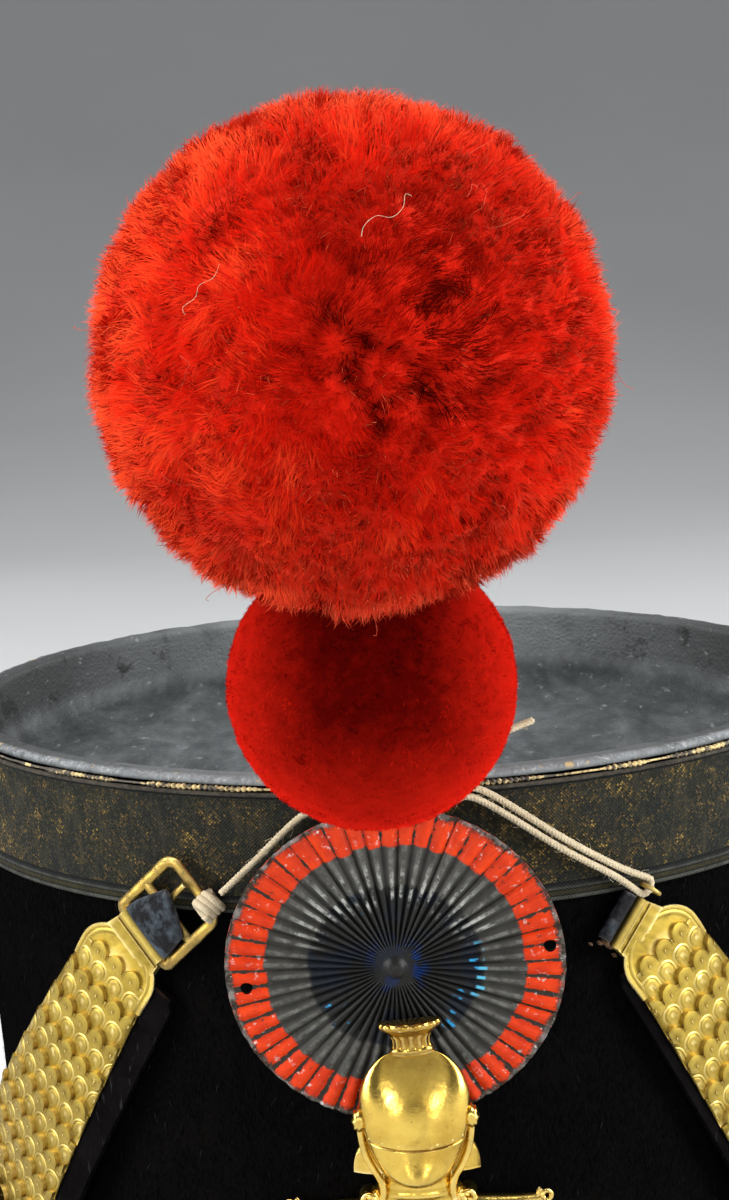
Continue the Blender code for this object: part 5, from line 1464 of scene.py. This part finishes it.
def makeFlyaways(material, paleMaterial):
    dice = np.random.default_rng(31)
    centre = np.array(tuft["centre"])
    parts = []
    for _ in range(flyaways["count"]):
        out = unit(dice.normal(0, 1, 3))
        start = centre + out * (tuft["radius"] - flyaways["keep"])
        ahead = unit(out + dice.normal(0, 0.8, 3))
        steps = [start]
        for _ in range(9):
            ahead = unit(ahead + dice.normal(0, 0.30, 3))
            steps.append(steps[-1] + ahead * dice.uniform(*flyaways["long"]) / 9)
        steps = np.array(steps)
        # keep them close to the head
        away = steps - centre
        far = np.linalg.norm(away, axis=1, keepdims=True)
        steps = centre + away / far * np.minimum(far, tuft["radius"] + flyaways["keep"])
        parts.append(tube(smoothPath(steps, 0.8), flyaways["radius"], 4))
    addParts("flyawayHairs", parts, material, sharp=0)
    parts = []
    for route in flyaways["pale"]:
        path = []
        for x, z in route:
            depth = math.sqrt((tuft["radius"] + 0.2) ** 2 - x * x - z * z)
            path.append(centre + np.array([x, -depth, z]))
        parts.append(tube(smoothPath(path, 0.6), flyaways["paleRadius"], 5))
    addParts("paleHairs", parts, paleMaterial, sharp=0)


# chin straps: leather under rows of tongue-shaped scales, a rounded end plate and a boss

chinStrap = {
    "narrowHalf": 9.4, "widening": 0.086, "foot": 118.0, "stations": 150, "liftFrom": 1.5, "liftOver": 110.0,
    "leatherTop": 6.6, "leather": 1.6,
    # scales: a sheet under each pair of rows, tilted less at the top, and the tongues on it
    "sheetFoot": 2.0, "sheet": 2.55, "tilt": 0.62, "firstTilt": 0.30, "tiltOver": 9.5,
    "tongueWide": 5.25, "tongueLong": 6.9, "rowStep": 4.75, "firstRow": 6.4, "rows": 23,
    "endLong": 15.2, "endArch": 9.8,
    "bossAt": 110.0, "bossBack": 3.8, "beads": 60, "beadsAt": 16.2, "beadFoot": 1.45,
}
# shares of the way in from a tongue's outline, and the height there
tongueKinds = {
    "bright": {"arch": 2.9, "gap": 0.35, "face": (
        (0.0, -0.75), (0.0, 0.06), (0.07, 0.20), (0.16, 0.26), (0.5, 0.29), (0.82, 0.30), (0.91, 0.25),
        (0.95, 0.05), (1.0, 0.02))},
    "flat": {"arch": 2.6, "gap": 0.1, "face": (
        (0.0, -0.5), (0.0, 0.02), (0.07, 0.14), (0.20, 0.17), (0.27, 0.02), (0.34, 0.14), (0.44, 0.20),
        (0.7, 0.22), (0.92, 0.20), (1.0, 0.02))},
}
endPlateFace = ((0.0, 1.9), (0.0, 2.35), (0.018, 2.55), (0.075, 2.55), (0.10, 2.48), (0.125, 2.64),
                (0.165, 2.66), (0.195, 2.52), (0.24, 2.5), (0.5, 2.52), (0.8, 2.55), (1.0, 2.55))
strapRows = {
    # angle, height and lean at the tip, lift and bare leather beside the scales
    "left": {"side": -1, "angle": -33.9, "height": 141.4, "lean": 36.2, "lift": 7.0, "bare": 6.4},
    "right": {"side": 1, "angle": 30.1, "height": 141.2, "lean": 35.7, "lift": 7.0, "bare": 2.6},
}
bossRows = ((18.5, 0.0), (18.6, 0.7), (18.2, 1.3), (17.2, 1.5), (16.4, 1.5), (15.6, 2.1), (14.5, 2.4),
            (14.0, 2.5), (13.8, 3.6), (13.3, 4.2), (12.3, 4.6), (10.2, 5.3), (7.5, 6.2), (4.4, 6.9),
            (2.0, 7.15), (0.2, 7.2))


# angle, height and lean every millimetre down the strap
def strapLine(row):
    angle, height, lean = math.radians(row["angle"]), row["height"], math.radians(row["lean"])
    line = []
    for _ in range(chinStrap["stations"]):
        line.append((angle, height, lean))
        here = wallAt(angle, height)
        around = np.linalg.norm(wallAt(angle + 0.001, height) - here) * 1000.0
        rise = wallAt(angle, height + 1) - here
        turn = row["side"] * math.sin(lean) / around
        flare = rise[0] * math.sin(angle) - rise[1] * math.cos(angle)
        lean += abs(turn) * math.sin(math.atan(flare))
        angle += turn
        height -= math.cos(lean) / np.linalg.norm(rise)
    return np.array(line)


def strapStand(row, down):
    low = chinStrap["liftFrom"]
    return low + (row["lift"] - low) * np.clip(np.asarray(down, float) / chinStrap["liftOver"], 0, 1)


def onStrap(row, line, down, across, off):
    down, across, off = np.broadcast_arrays(np.asarray(down, float), np.asarray(across, float),
                                            np.asarray(off, float))
    angle, height, lean = (np.interp(down, np.arange(len(line)), line[:, k]) for k in range(3))
    inner = np.clip(down, 0, None) - down
    height = height + inner * np.cos(lean)
    angle = angle - row["side"] * inner * np.sin(lean) / 105.0
    here = wallAt(angle, height)
    around = np.linalg.norm(wallAt(angle + 0.001, height) - here, axis=-1) * 1000.0
    upward = np.linalg.norm(wallAt(angle, height + 1) - here, axis=-1)
    angle = angle + row["side"] * np.cos(lean) * across / around
    height = height + np.sin(lean) * across / upward
    return surfaceAt(angle, height, strapStand(row, down) + off)


def strapHalf(down):
    return chinStrap["narrowHalf"] + chinStrap["widening"] * np.asarray(down, float)


# a petal: straight sides under a round top, in steps from its outline to its middle line
def petal(wide, arch, long, face, sides=4, top=11):
    insets, lifts = zip(*face)
    half = wide / 2
    left = [(-half, y) for y in np.linspace(long, arch, sides)[:-1]]
    round_ = [(-half * math.cos(t), arch - arch * math.sin(t)) for t in np.linspace(0, pi, top)]
    outline = np.array(left + round_ + [(-x, y) for x, y in left[::-1]])
    spine = stacked(0.0, np.maximum(outline[:, 1], arch))
    layers = np.array([spine + (outline - spine) * (1 - inset) for inset in insets])
    return layers, np.repeat(np.array(lifts)[:, None], len(outline), 1), gridFaces(len(insets), len(outline))


def strapLeather(row, line):
    shape = chinStrap
    down = np.linspace(shape["leatherTop"], shape["foot"], 90)
    trim = np.where((down < 8) | (down > 116), 1.2, 0.0)
    low, high = -strapHalf(down) - row["bare"] + trim, strapHalf(down) - 1.0 - trim
    across = low[:, None] + (high - low)[:, None] * np.linspace(0, 1, 22)[None]
    lines = 0.16 * bump(across - low[:, None], 1.6, 0.28) + 0.12 * bump(across - low[:, None], 2.7, 0.25)
    top = onStrap(row, line, down[:, None], across, shape["leather"] - lines)
    bottom = onStrap(row, line, down[:, None], across[:, ::-1], 0.0)
    middle = shape["leather"] / 2
    edges = [onStrap(row, line, down, side, middle)[:, None] for side in (high + 0.12, low - 0.12)]
    return capped(np.concatenate([top, edges[0], bottom, edges[1]], 1))


# the sheet under a pair of rows, which laps the pair below
def scaleSheet(row, line, pair):
    shape = chinStrap
    start = shape["firstRow"] + 2 * shape["rowStep"] * pair
    down = np.linspace(start + 2.4, min(start + 2 * shape["rowStep"] + 2.6, shape["foot"]), 9)
    tilt = shape["tilt" if pair else "firstTilt"] * (1 - (down - start) / shape["tiltOver"])
    share = np.linspace(-1, 1, 25)[None]
    across = (strapHalf(down) + 0.1)[:, None] * share
    face = shape["sheet"] + tilt[:, None] - 0.5 * np.abs(share) ** 10
    top = onStrap(row, line, down[:, None], across, face)
    under = onStrap(row, line, down[:, None], across[:, ::-1], shape["sheetFoot"])
    return capped(np.concatenate([top, under], 1))


# one row of tongues: bright ones with a slit, or flatter ones with a double outline
def tongueRow(row, line, k, dice):
    shape = chinStrap
    raised = k % 2 == 0
    kind = tongueKinds["bright" if raised else "flat"]
    start = shape["firstRow"] + shape["rowStep"] * k
    plate = start - shape["rowStep"] * (not raised)
    count = int(strapHalf(start + 3) / shape["tongueWide"]) + 2
    parts = []
    for column in range(-count, count + 1):
        middle = (column + (0.0 if raised else 0.5)) * shape["tongueWide"]
        if abs(middle) > strapHalf(start + 3) + 1.2 or (k == 0 and abs(middle) > 7.0):
            continue
        layers, lift, faces = petal(shape["tongueWide"] - kind["gap"], kind["arch"], shape["tongueLong"],
                                    kind["face"])
        up = layers[..., 1]
        turn = dice.normal(0, 0.03)
        x = middle + layers[..., 0] + turn * up + dice.normal(0, 0.07)
        y = start + up + dice.normal(0, 0.07) - 0.15 * (middle / 9.0) ** 2
        edge = strapHalf(y) - 0.15
        tilt = shape["tilt" if k > 1 else "firstTilt"] * (1 - (y - plate) / shape["tiltOver"])
        # the slit is cut only below the round top, and the tip stands highest
        if raised:
            lift = np.where(lift > 0, lift * (0.52 + 0.48 * ease(up, 4.2, 1.0)), lift)
            lift = np.where((lift < 0.1) & (lift > 0) & (up < kind["arch"] + 0.25), 0.5, lift)
        else:
            insets = np.array(kind["face"])[:, :1]
            lift = np.where((insets > 0.95) & (up < kind["arch"] + 0.9), 0.2, lift)
        z = shape["sheet"] + tilt + lift * dice.uniform(0.85, 1.1) - 0.35 * (up / shape["tongueLong"]) ** 2
        inside = np.clip(x, -edge, edge)
        z = z - 0.5 * np.minimum(np.abs(inside / edge), 1.0) ** 14
        parts.append((onStrap(row, line, y, inside, z).reshape(-1, 3), faces[:, ::-1]))
    return parts


# end plate with a raised line inside its edge
def strapEnd(row, line):
    shape = chinStrap
    wide = 2 * (float(strapHalf(shape["endArch"])) + 0.8)
    layers, lift, _ = petal(wide, shape["endArch"], shape["endLong"], endPlateFace, 6, 44)
    lift = lift - 0.25 * ease(layers[..., 1], 12.5, 15.0)
    top = onStrap(row, line, layers[..., 1], layers[..., 0], lift)
    behind = [onStrap(row, line, layers[k, :, 1], layers[k, :, 0], endPlateFace[0][1]) for k in (-1, 0)]
    points = np.concatenate([np.stack(behind), top])
    return points, gridFaces(len(points), points.shape[1])


# boss: a ring and a dome, beaded round its edge
def strapBoss(back):
    shape = chinStrap
    profile = [(3.0, 0.3 - back), (3.0, 0.0)] + list(bossRows)
    rings = [[(r * math.cos(t), r * math.sin(t), z) for t in circle(96)] for r, z in profile]
    parts = [(rings, gridFaces(len(profile), 96, False, True))]
    for t in circle(shape["beads"]):
        bead = [[(shape["beadsAt"] + r * math.cos(a)) * math.cos(t) - r * math.sin(a) * math.sin(t),
                 (shape["beadsAt"] + r * math.cos(a)) * math.sin(t) + r * math.sin(a) * math.cos(t),
                 shape["beadFoot"] + h]
                for r, h in ((0.62, 0.0), (0.5, 0.42), (0.02, 0.62)) for a in circle(8)]
        parts.append((bead, gridFaces(3, 8, False, True)))
    return parts


def makeStrap(name, gilt, leather):
    row, shape = strapRows[name], chinStrap
    line, side = strapLine(row), row["side"]
    # each form is built for the right strap, and the left one's faces are turned over
    points, faces = strapLeather(row, line)
    addMesh(f"chinLeather_{name}", points, faces[:, ::side], leather, [f"chin_leather_{name}"])
    dice = np.random.default_rng(41 + side)
    parts = [scaleSheet(row, line, pair) for pair in range(shape["rows"] // 2 + 1)]
    for k in range(shape["rows"]):
        parts += tongueRow(row, line, k, dice)
    nodes = [f"chin_plate_{name}_{k:02d}" for k in range(1, 10)]
    addParts(f"chinScales_{name}", [(p, f[:, ::side]) for p, f in parts], gilt, nodes, sharp=38)
    points, faces = strapEnd(row, line)
    addMesh(f"chinEnd_{name}", points, faces[:, ::-side], gilt, [f"chin_end_{name}"], sharp=38)
    angle, height, _ = line[int(shape["bossAt"])]
    back = float(strapStand(row, shape["bossAt"])) + shape["bossBack"]
    addParts(f"chinBoss_{name}", strapBoss(back), gilt, [f"chin_boss_{name}"],
             wallFrame(angle, height, back), 40)


# buckle at the left strap, clasp with its eye and leather stub at the right

buckle = {"angle": -32.2, "height": 142.0, "turn": -50.0, "off": 4.0, "half": 9.8, "top": 21.2, "corner": 3.0,
          "windows": ((0.6, 8.7), (10.9, 19.0)), "windowHalf": 7.6, "sleeve": 14.6, "sleeveRadius": 1.85,
          "barRadius": 1.30, "flatness": 0.55,
          "prong": ((-1.5, 9.8, 0.9), (-1.5, 11.4, 1.1), (-1.5, 14.5, 1.7), (-1.5, 18.0, 2.2),
                    (-1.5, 20.4, 2.4))}
clasp = {"angle": 28.0, "height": 141.3, "turn": 54.0, "off": 3.9, "half": 6.5, "rollRadius": 1.2,
         "ring": (9.2, 0.2, 1.0), "ringRadius": 2.3, "wire": 0.5,
         # place and size
         "scraps": ((-6.4, 3.0, 0.2, 0.9), (-6.6, 1.4, -0.6, 0.8), (-6.3, -0.4, -1.6, 0.9),
                    (-7.2, 4.4, 0.4, 0.6), (-7.6, -2.2, -1.6, 0.6), (5.9, 1.6, -0.9, 0.5),
                    (-8.4, 5.6, -0.6, 0.5))}
strapTip = ((2.0, -7.4, 7.4, 1.2), (4.0, -7.1, 7.35, 2.0), (6.0, -6.8, 7.2, 2.4), (9.8, -5.6, 6.6, 2.4),
            (13.0, -4.6, 3.0, 2.2), (14.8, -4.1, 0.2, 1.7), (16.0, -3.4, -2.2, 1.2))


# a round rod along x, from places and radii
def turned(profile, around):
    points = [(x, r * math.cos(t), r * math.sin(t)) for x, r in profile for t in circle(around)]
    return points, gridFaces(len(profile), around, False, True)


# leaf hinge: sheet below a rolled edge
hingeSheet = {"foot": -6.2, "top": 0.3, "face": 0.75, "back": 2.2, "beads": ((-0.75, 0.28), (-2.4, 0.22))}


def hingeLeaf(half, off, rollRadius):
    foot, top, face = hingeSheet["foot"], hingeSheet["top"], hingeSheet["face"]
    rows = []
    for y in np.linspace(foot, top, 8):
        t = (y - foot) / (top - foot)
        wide = half + 0.8 * (1 - t) - 0.3 * t
        x = np.linspace(-wide, wide, 22)
        rows.append(np.concatenate([stacked(x, y, face - 0.05 * np.cos(x * 2.2) - (1 - t) * 0.6),
                                    stacked(x[::-1], y, hingeSheet["back"] - off)]))
    x = np.linspace(-half, half, 70)
    radii = np.full(len(x), rollRadius * 1.035)
    radii[0] = radii[-1] = rollRadius * 0.85
    profile = [(x[0], 0.0), (x[0], 0.6)] + list(zip(x, radii)) + [(x[-1], 0.6), (x[-1], 0.0)]
    parts = [capped(rows), turned(profile, 22)]
    # one bead where the sheet laps the roll, and one below it
    for (y, radius), z in zip(hingeSheet["beads"], (rollRadius * 0.72, face)):
        points, faces = turned([(x, radius) for x in np.linspace(-half + 0.1, half - 0.1, 30)], 8)
        parts.append((np.array(points) + np.array([0.0, y, z]), faces))
    return parts


def makeBuckle(brass, gilt, leather):
    shape = buckle
    where = wallFrame(math.radians(shape["angle"]), shape["height"], shape["off"], shape["turn"])

    # frame: an outer loop and a bar, both of worn round brass
    inner, outer, corner = shape["windowHalf"] - 0.35, shape["half"] + 0.15, shape["corner"]
    mid, radius = (inner + outer) / 2, (outer - inner) / 2
    low, high = 0.0, (shape["windows"][1][1] + shape["top"]) / 2
    route = []
    for cx, cy, t0 in ((mid - corner, high - corner, 0), (-mid + corner, high - corner, 90),
                       (-mid + 1.2, low + 1.2, 180), (mid - 1.2, low + 1.2, 270)):
        size = corner if cy > 5 else 1.2
        for t in np.radians(np.linspace(t0, t0 + 90, 9)):
            route.append((cx + size * math.cos(t), cy + size * math.sin(t), 0.0))
    path = np.array(route + [route[0]])
    fine = []
    for a, b in zip(path[:-1], path[1:]):
        steps = max(1, int(np.linalg.norm(b - a) / 0.7))
        fine += [a + (b - a) * t for t in np.arange(steps) / steps]
    fine = np.array(fine)
    bar = stacked(np.linspace(-mid, mid, 40), 9.8, 0.0)
    points, faces = gather([tube(fine, 1.0, 16, True, radii=radius * (1 + 0.05 * rough(fine, 2.5))),
                            tube(bar, 1.0, 14, radii=shape["barRadius"] + 0.05 * rough(bar, 2.0, 3.0))])
    points[:, 2] *= shape["flatness"]
    points[:, 2] += 0.05 * rough(points, 1.8, 5.0)
    addParts("buckleFrame", [(points, faces)], brass, ["buckle_frame"], where)
    # prong
    path = smoothPath(shape["prong"], 0.5)
    prong = tube(path, 0.9, 12, radii=np.linspace(0.92, 0.7, len(path)))
    addParts("buckleProng", [prong], brass, ["buckle_prong"], where)
    # hinge leaf and sleeve
    addParts("buckleSleeve", hingeLeaf(shape["sleeve"] / 2, shape["off"], shape["sleeveRadius"]), gilt,
             ["buckle_sleeve"], where, 40)

    # leather tip through the buckle
    rows = np.array(strapTip)
    fine = np.linspace(rows[0, 0], rows[-1, 0], 34)
    left, right, swell = (np.interp(fine, rows[:, 0], rows[:, k]) for k in (1, 2, 3))
    base = 1.0 + 0.32 * np.maximum(fine - 9.8, 0)
    share = np.linspace(-1, 1, 26)
    x = (left + right)[:, None] / 2 + (right - left)[:, None] / 2 * share[None]
    z = base[:, None] + swell[:, None] * (0.35 + 0.65 * (1 - np.abs(share[None]) ** 3.5))
    top = stacked(x, fine[:, None], z)
    top[..., 2] += 0.10 * rough(top, 3.0) + 0.05 * rough(top, 0.9, 4.0)
    below = stacked(x[:, ::-1], fine[:, None], base[:, None])
    addParts("strapTip", [capped(np.concatenate([top, below], 1))], leather, ["strap_tip"], where)


def makeClasp(gilt, leather, scrapLeather):
    shape = clasp
    where = wallFrame(math.radians(shape["angle"]), shape["height"], shape["off"], shape["turn"])
    addParts("endClasp", hingeLeaf(shape["half"], shape["off"], shape["rollRadius"]), gilt,
             ["end_clasp"], where, 40)
    turn = circle(48)
    x, y, z = shape["ring"]
    eye = stacked(x, y + shape["ringRadius"] * np.cos(turn), z + shape["ringRadius"] * np.sin(turn))
    addParts("endRing", [tube(eye, shape["wire"], 12, True)], gilt, ["end_ring"], where)

    # leather stub rolled over, with torn ends
    turn = np.radians(np.linspace(-80, 140, 20))
    middle, outer, inner = (3.6, 0.0), 1.6, 0.55
    loop = [(-3.0, -2.0), (0.0, -1.9), (2.0, -1.7)]
    loop += [(middle[0] + outer * math.cos(t), middle[1] + outer * math.sin(t)) for t in turn]
    loop += [(middle[0] + inner * math.cos(t), middle[1] + inner * math.sin(t)) for t in turn[::-1]]
    loop = np.array(loop + [(2.6, -1.0), (1.7, -3.0), (-3.0, -3.2)])
    rows = []
    for x in np.linspace(-6, 6, 40):
        shrink = 1.0 - 0.10 * ease(abs(x) / 6, 0.93, 1.0)
        ring = (loop - loop.mean(0)) * shrink + loop.mean(0)
        ring = ring + 0.07 * rough(stacked(x, ring[:, 0], ring[:, 1]), 1.6)[:, None]
        rows.append(stacked(x, ring[:, 0], ring[:, 1]))
    addParts("leatherRoll", [capped(rows)], leather, ["leather_roll"], where, 60)
    # brown scraps torn off its lower end
    parts = []
    u, v = np.meshgrid(circle(14), np.linspace(0.05, pi - 0.05, 9))
    for k, (*place, size) in enumerate(shape["scraps"]):
        scrap = stacked(np.sin(v) * np.cos(u), np.sin(v) * np.sin(u), np.cos(v))
        torn = 1 + 0.45 * rough(scrap * 2.0 + k * 3.1, 1.1)[..., None]
        scrap = scrap * size * torn * np.array([0.7, 1.3, 0.8])
        parts.append(((scrap + np.array(place)).reshape(-1, 3), gridFaces(9, 14, False, True)))
    addParts("leatherScraps", parts, scrapLeather, where=where, sharp=0)


# linen strings: each is a twisted pair of strands round its own middle line

strings = {"radius": 0.86, "diameter": 0.0017, "turnsEach": 2.6}
stringRoutes = {
    "left": ((-7.6, -111.8, 172.8), (-11, -110.4, 173.2), (-15.5, -109.6, 173.2), (-21, -108.7, 171.6),
             (-31.6, -105.6, 161.3), (-36, -104.8, 157.2), (-39.5, -104.1, 153.9)),
    "stub": ((-1, -113.6, 173.8), (4, -112.8, 176.2), (10, -111.8, 180.5), (16, -109.8, 184.6),
             (22, -107.2, 187.4), (27, -105.6, 189.0), (31, -104.2, 190.1)),
    "fromTie": ((-0.2, -111.9, 171.6), (6, -110.8, 173.4), (12.6, -110.2, 174.8), (18.8, -109.3, 175.0)),
    "middle": (36.9, -104.2, 161.9),
}


def twisted(path):
    ahead = np.gradient(path, axis=0)
    ahead /= np.linalg.norm(ahead, axis=1, keepdims=True)
    sides, ups = carried(ahead, np.cross(ahead[0], (0.3, 0.2, 1.0)))
    along = np.concatenate([[0], np.cumsum(np.linalg.norm(np.diff(path, axis=0), axis=1))])
    parts = []
    for phase in (0, 2 * pi / 3, 4 * pi / 3):
        turn = along / strings["turnsEach"] * 2 * pi + phase
        strand = path + 0.36 * (sides * np.cos(turn)[:, None] + ups * np.sin(turn)[:, None])
        parts.append(tube(strand, 0.52, 6))
    return parts


def stringHairs(path, count, dice):
    parts = []
    for _ in range(count):
        k = dice.integers(2, len(path) - 2)
        ahead = unit(path[k + 1] - path[k])
        out = unit(dice.normal(0, 1, 3))
        out = unit(out - ahead * out.dot(ahead))
        start = path[k] + out * 0.6
        run = [start, start + out * 0.5 + ahead * dice.uniform(-0.6, 0.6),
               start + out * dice.uniform(0.6, 1.6) + ahead * dice.uniform(-1.8, 1.8)]
        parts.append(tube(smoothPath(run, 0.5), 0.045, 3))
    return parts


def strandRoute():
    ringFrame = wallFrame(math.radians(clasp["angle"]), clasp["height"], clasp["off"], clasp["turn"])
    ring = through(ringFrame, np.array([clasp["ring"]]))[0]
    middle = np.array(stringRoutes["middle"])
    along = unit(ring - middle)
    apart = np.array(ringFrame)[:3, 0]
    apart = unit(apart - along * apart.dot(along))
    down = [np.array(p, float) for p in stringRoutes["fromTie"]] + [middle, middle + 0.6 * (ring - middle)]
    bend = 1.9
    turn = np.linspace(0, pi, 5)
    loop = [ring - along * bend + bend * (math.cos(t) * apart + math.sin(t) * along) for t in turn]
    out = [p + apart * 1.1 for p in down]
    back = [p - apart * 1.1 for p in down[::-1]]
    return out + loop + back


def makeStrings(material):
    dice = np.random.default_rng(61)

    # wraps round both strings behind the pompom, and the bulky knot at the left
    def wraps(name, centre, axis, radius, wire, turns, width, cadNode):
        turn = np.linspace(0, 2 * pi * turns, int(36 * turns))
        axis = unit(np.array(axis, float))
        one = unit(np.cross(axis, (0.0, 0.0, 1.0)))
        two = np.cross(axis, one)
        shift = width * (turn / turn[-1] - 0.5)
        ring = one * np.cos(turn)[:, None] + two * np.sin(turn)[:, None]
        path = np.array(centre) + axis * shift[:, None] + radius * ring
        path = path + 0.12 * stacked(*(rough(path, 2.0, seed) for seed in (1.0, 2.0, 3.0)))
        return addParts(name, [tube(path, wire, 9)], material, [cadNode], sharp=0)

    tie = wraps("stringTie", (-4.3, -112.9, 172.5), (1.0, 0.15, 0.1), 2.05, 0.66, 3.2, 3.0, "string_tie")
    knot = wraps("stringKnot", (-42.5, -103.3, 151.0), (0.62, 0.25, 0.55), 2.35, 0.95, 3.6, 4.6,
                 "string_knot")
    routes = (("stringLeft", stringRoutes["left"], "string_left", "knot", "taut", 30, [tie, knot]),
              ("stringRight", strandRoute(), "string_right", "object", "taut", 70, []),
              ("stringStub", stringRoutes["stub"], "string_stub", "bare", "loose", 40, []))
    for name, route, cadNode, farEnd, lay, fuzz, others in routes:
        path = smoothPath(route, 0.45)
        piece = addParts(name, twisted(path), material, [cadNode], sharp=0)
        fluff = addParts(name + "Fuzz", stringHairs(path, fuzz, dice), material, sharp=0)


def makePin(material):
    route = np.array([(-4.3, -109.2, 153.0), (-4.3, -118.1, 200.0)])
    path = smoothPath(route, 2.0)
    addParts("pompomPin", [tube(path, 1.0, 16)], material, ["pompom_pin"])


# pale floor that sweeps up behind
def makeFloor(material):
    turn = np.linspace(0, pi / 2, 24)
    sweep = [(1.5 + 2.0 * math.sin(t), 2.0 - 2.0 * math.cos(t)) for t in turn]
    line = [(-7.0, 0.0), (1.5, 0.0)] + sweep + [(3.5, 7.0)]
    mesh = bpy.data.meshes.new("floor")
    points = [(x, y, z) for y, z in line for x in (-8.0, 8.0)]
    faces = [(2 * k, 2 * k + 1, 2 * k + 3, 2 * k + 2) for k in range(len(line) - 1)]
    mesh.from_pydata(points, [], faces)
    mesh.materials.append(material)
    mesh.shade_smooth()
    floor = bpy.data.objects.new("floor", mesh)
    bpy.context.scene.collection.objects.link(floor)


for makeGroup in (makeEdgeWearAndGlint, makeGrime, makeGrain, makeScratches, makeThreads):
    makeGroup()
linen = clothMaterial("linen", (0.66, 0.57, 0.40), (0.46, 0.37, 0.23), 2600.0, 0.0)
gilt = giltMaterial("stampedGilt", (0.74, 0.51, 0.10), (0.50, 0.31, 0.045), 0.13, darkTopFrom=0.110)
brass = giltMaterial("wornBrass", (0.44, 0.275, 0.040), (0.12, 0.070, 0.018), 0.30, 260.0, 0.9, 0.5,
                     (0.045, 0.026, 0.012))
scales = giltMaterial("scaleGilt", (0.42, 0.300, 0.050), (0.26, 0.178, 0.026), 0.36, 210.0, 0.42, 0.35,
                      (0.105, 0.072, 0.018))
blackLeather = leatherMaterial("blackLeather", (0.003, 0.0026, 0.0026), (0.04, 0.019, 0.011), 0.50, 0.0)
waxedLeather = leatherMaterial("waxedLeather", (0.008, 0.008, 0.009), (0.07, 0.065, 0.065), 0.32, 0.10, 0.5,
                               (0.055, 0.070, 0.085))
setCamera()
setLights()
makeStrings(linen)
print("camera, lights and strings")

makeFelt(feltMaterial(),
         hairMaterial("feltNap", (0.001, 0.001, 0.001), (0.0028, 0.0028, 0.003), (0.022, 0.020, 0.018)))
makeCrown(crownMaterial())
makeGalloon(laceMaterial(), goldThreadMaterial(),
            clothMaterial("edgeBraid", (0.075, 0.066, 0.050), (0.012, 0.011, 0.010), 700.0, 0.0))
print("felt, crown and galloon")
makeFootBand(blackLeather, linen)
makePeak(leatherMaterial("polishedLeather", (0.005, 0.005, 0.006), (0.06, 0.04, 0.03), 0.16, 0.9, 0.3), linen)
makeCockade(cockadeMaterial())
makeFrontPlate(gilt)
print("peak, cockade and plate")
for strapName in strapRows:
    makeStrap(strapName, scales, blackLeather)
makeBuckle(brass, scales, waxedLeather)
makeClasp(scales, waxedLeather,
          clothMaterial("rawLeather", (0.12, 0.055, 0.02), (0.03, 0.014, 0.006), 900.0, 0.1))
makePin(ironMaterial())
print("straps and buckle")
wool = clothMaterial("woolCore", (0.60, 0.009, 0.003), (0.32, 0.004, 0.001), 1500.0, 0.6, (1.0, 0.16, 0.08),
                     0.0)
tuftHair = hairMaterial("tuftHair", (0.06, 0.001, 0.0005), (0.54, 0.007, 0.0022), (0.95, 0.085, 0.022), 0.62,
                        (1.0, 0.15, 0.06))
makeTuft(tuftHair, wool)
ballHair = hairMaterial("ballHair", (0.010, 0.0003, 0.0002), (0.10, 0.0010, 0.0005), (0.46, 0.009, 0.003),
                        0.7, (1.0, 0.012, 0.004))
collarCloth = clothMaterial("collarCloth", (0.16, 0.006, 0.004), (0.05, 0.002, 0.002), 1500.0, 0.0, gloss=0.0)
ballDice = np.random.default_rng(23)
makeBall(ballHair, velvetMaterial(), ballDice)
makeCollar(ballHair, collarCloth, ballDice)
makeFlyaways(clothMaterial("looseHair", (0.62, 0.10, 0.05), (0.45, 0.03, 0.015), 900.0, 0.0), linen)
makeFloor(floorMaterial())
print("pompoms and floor")
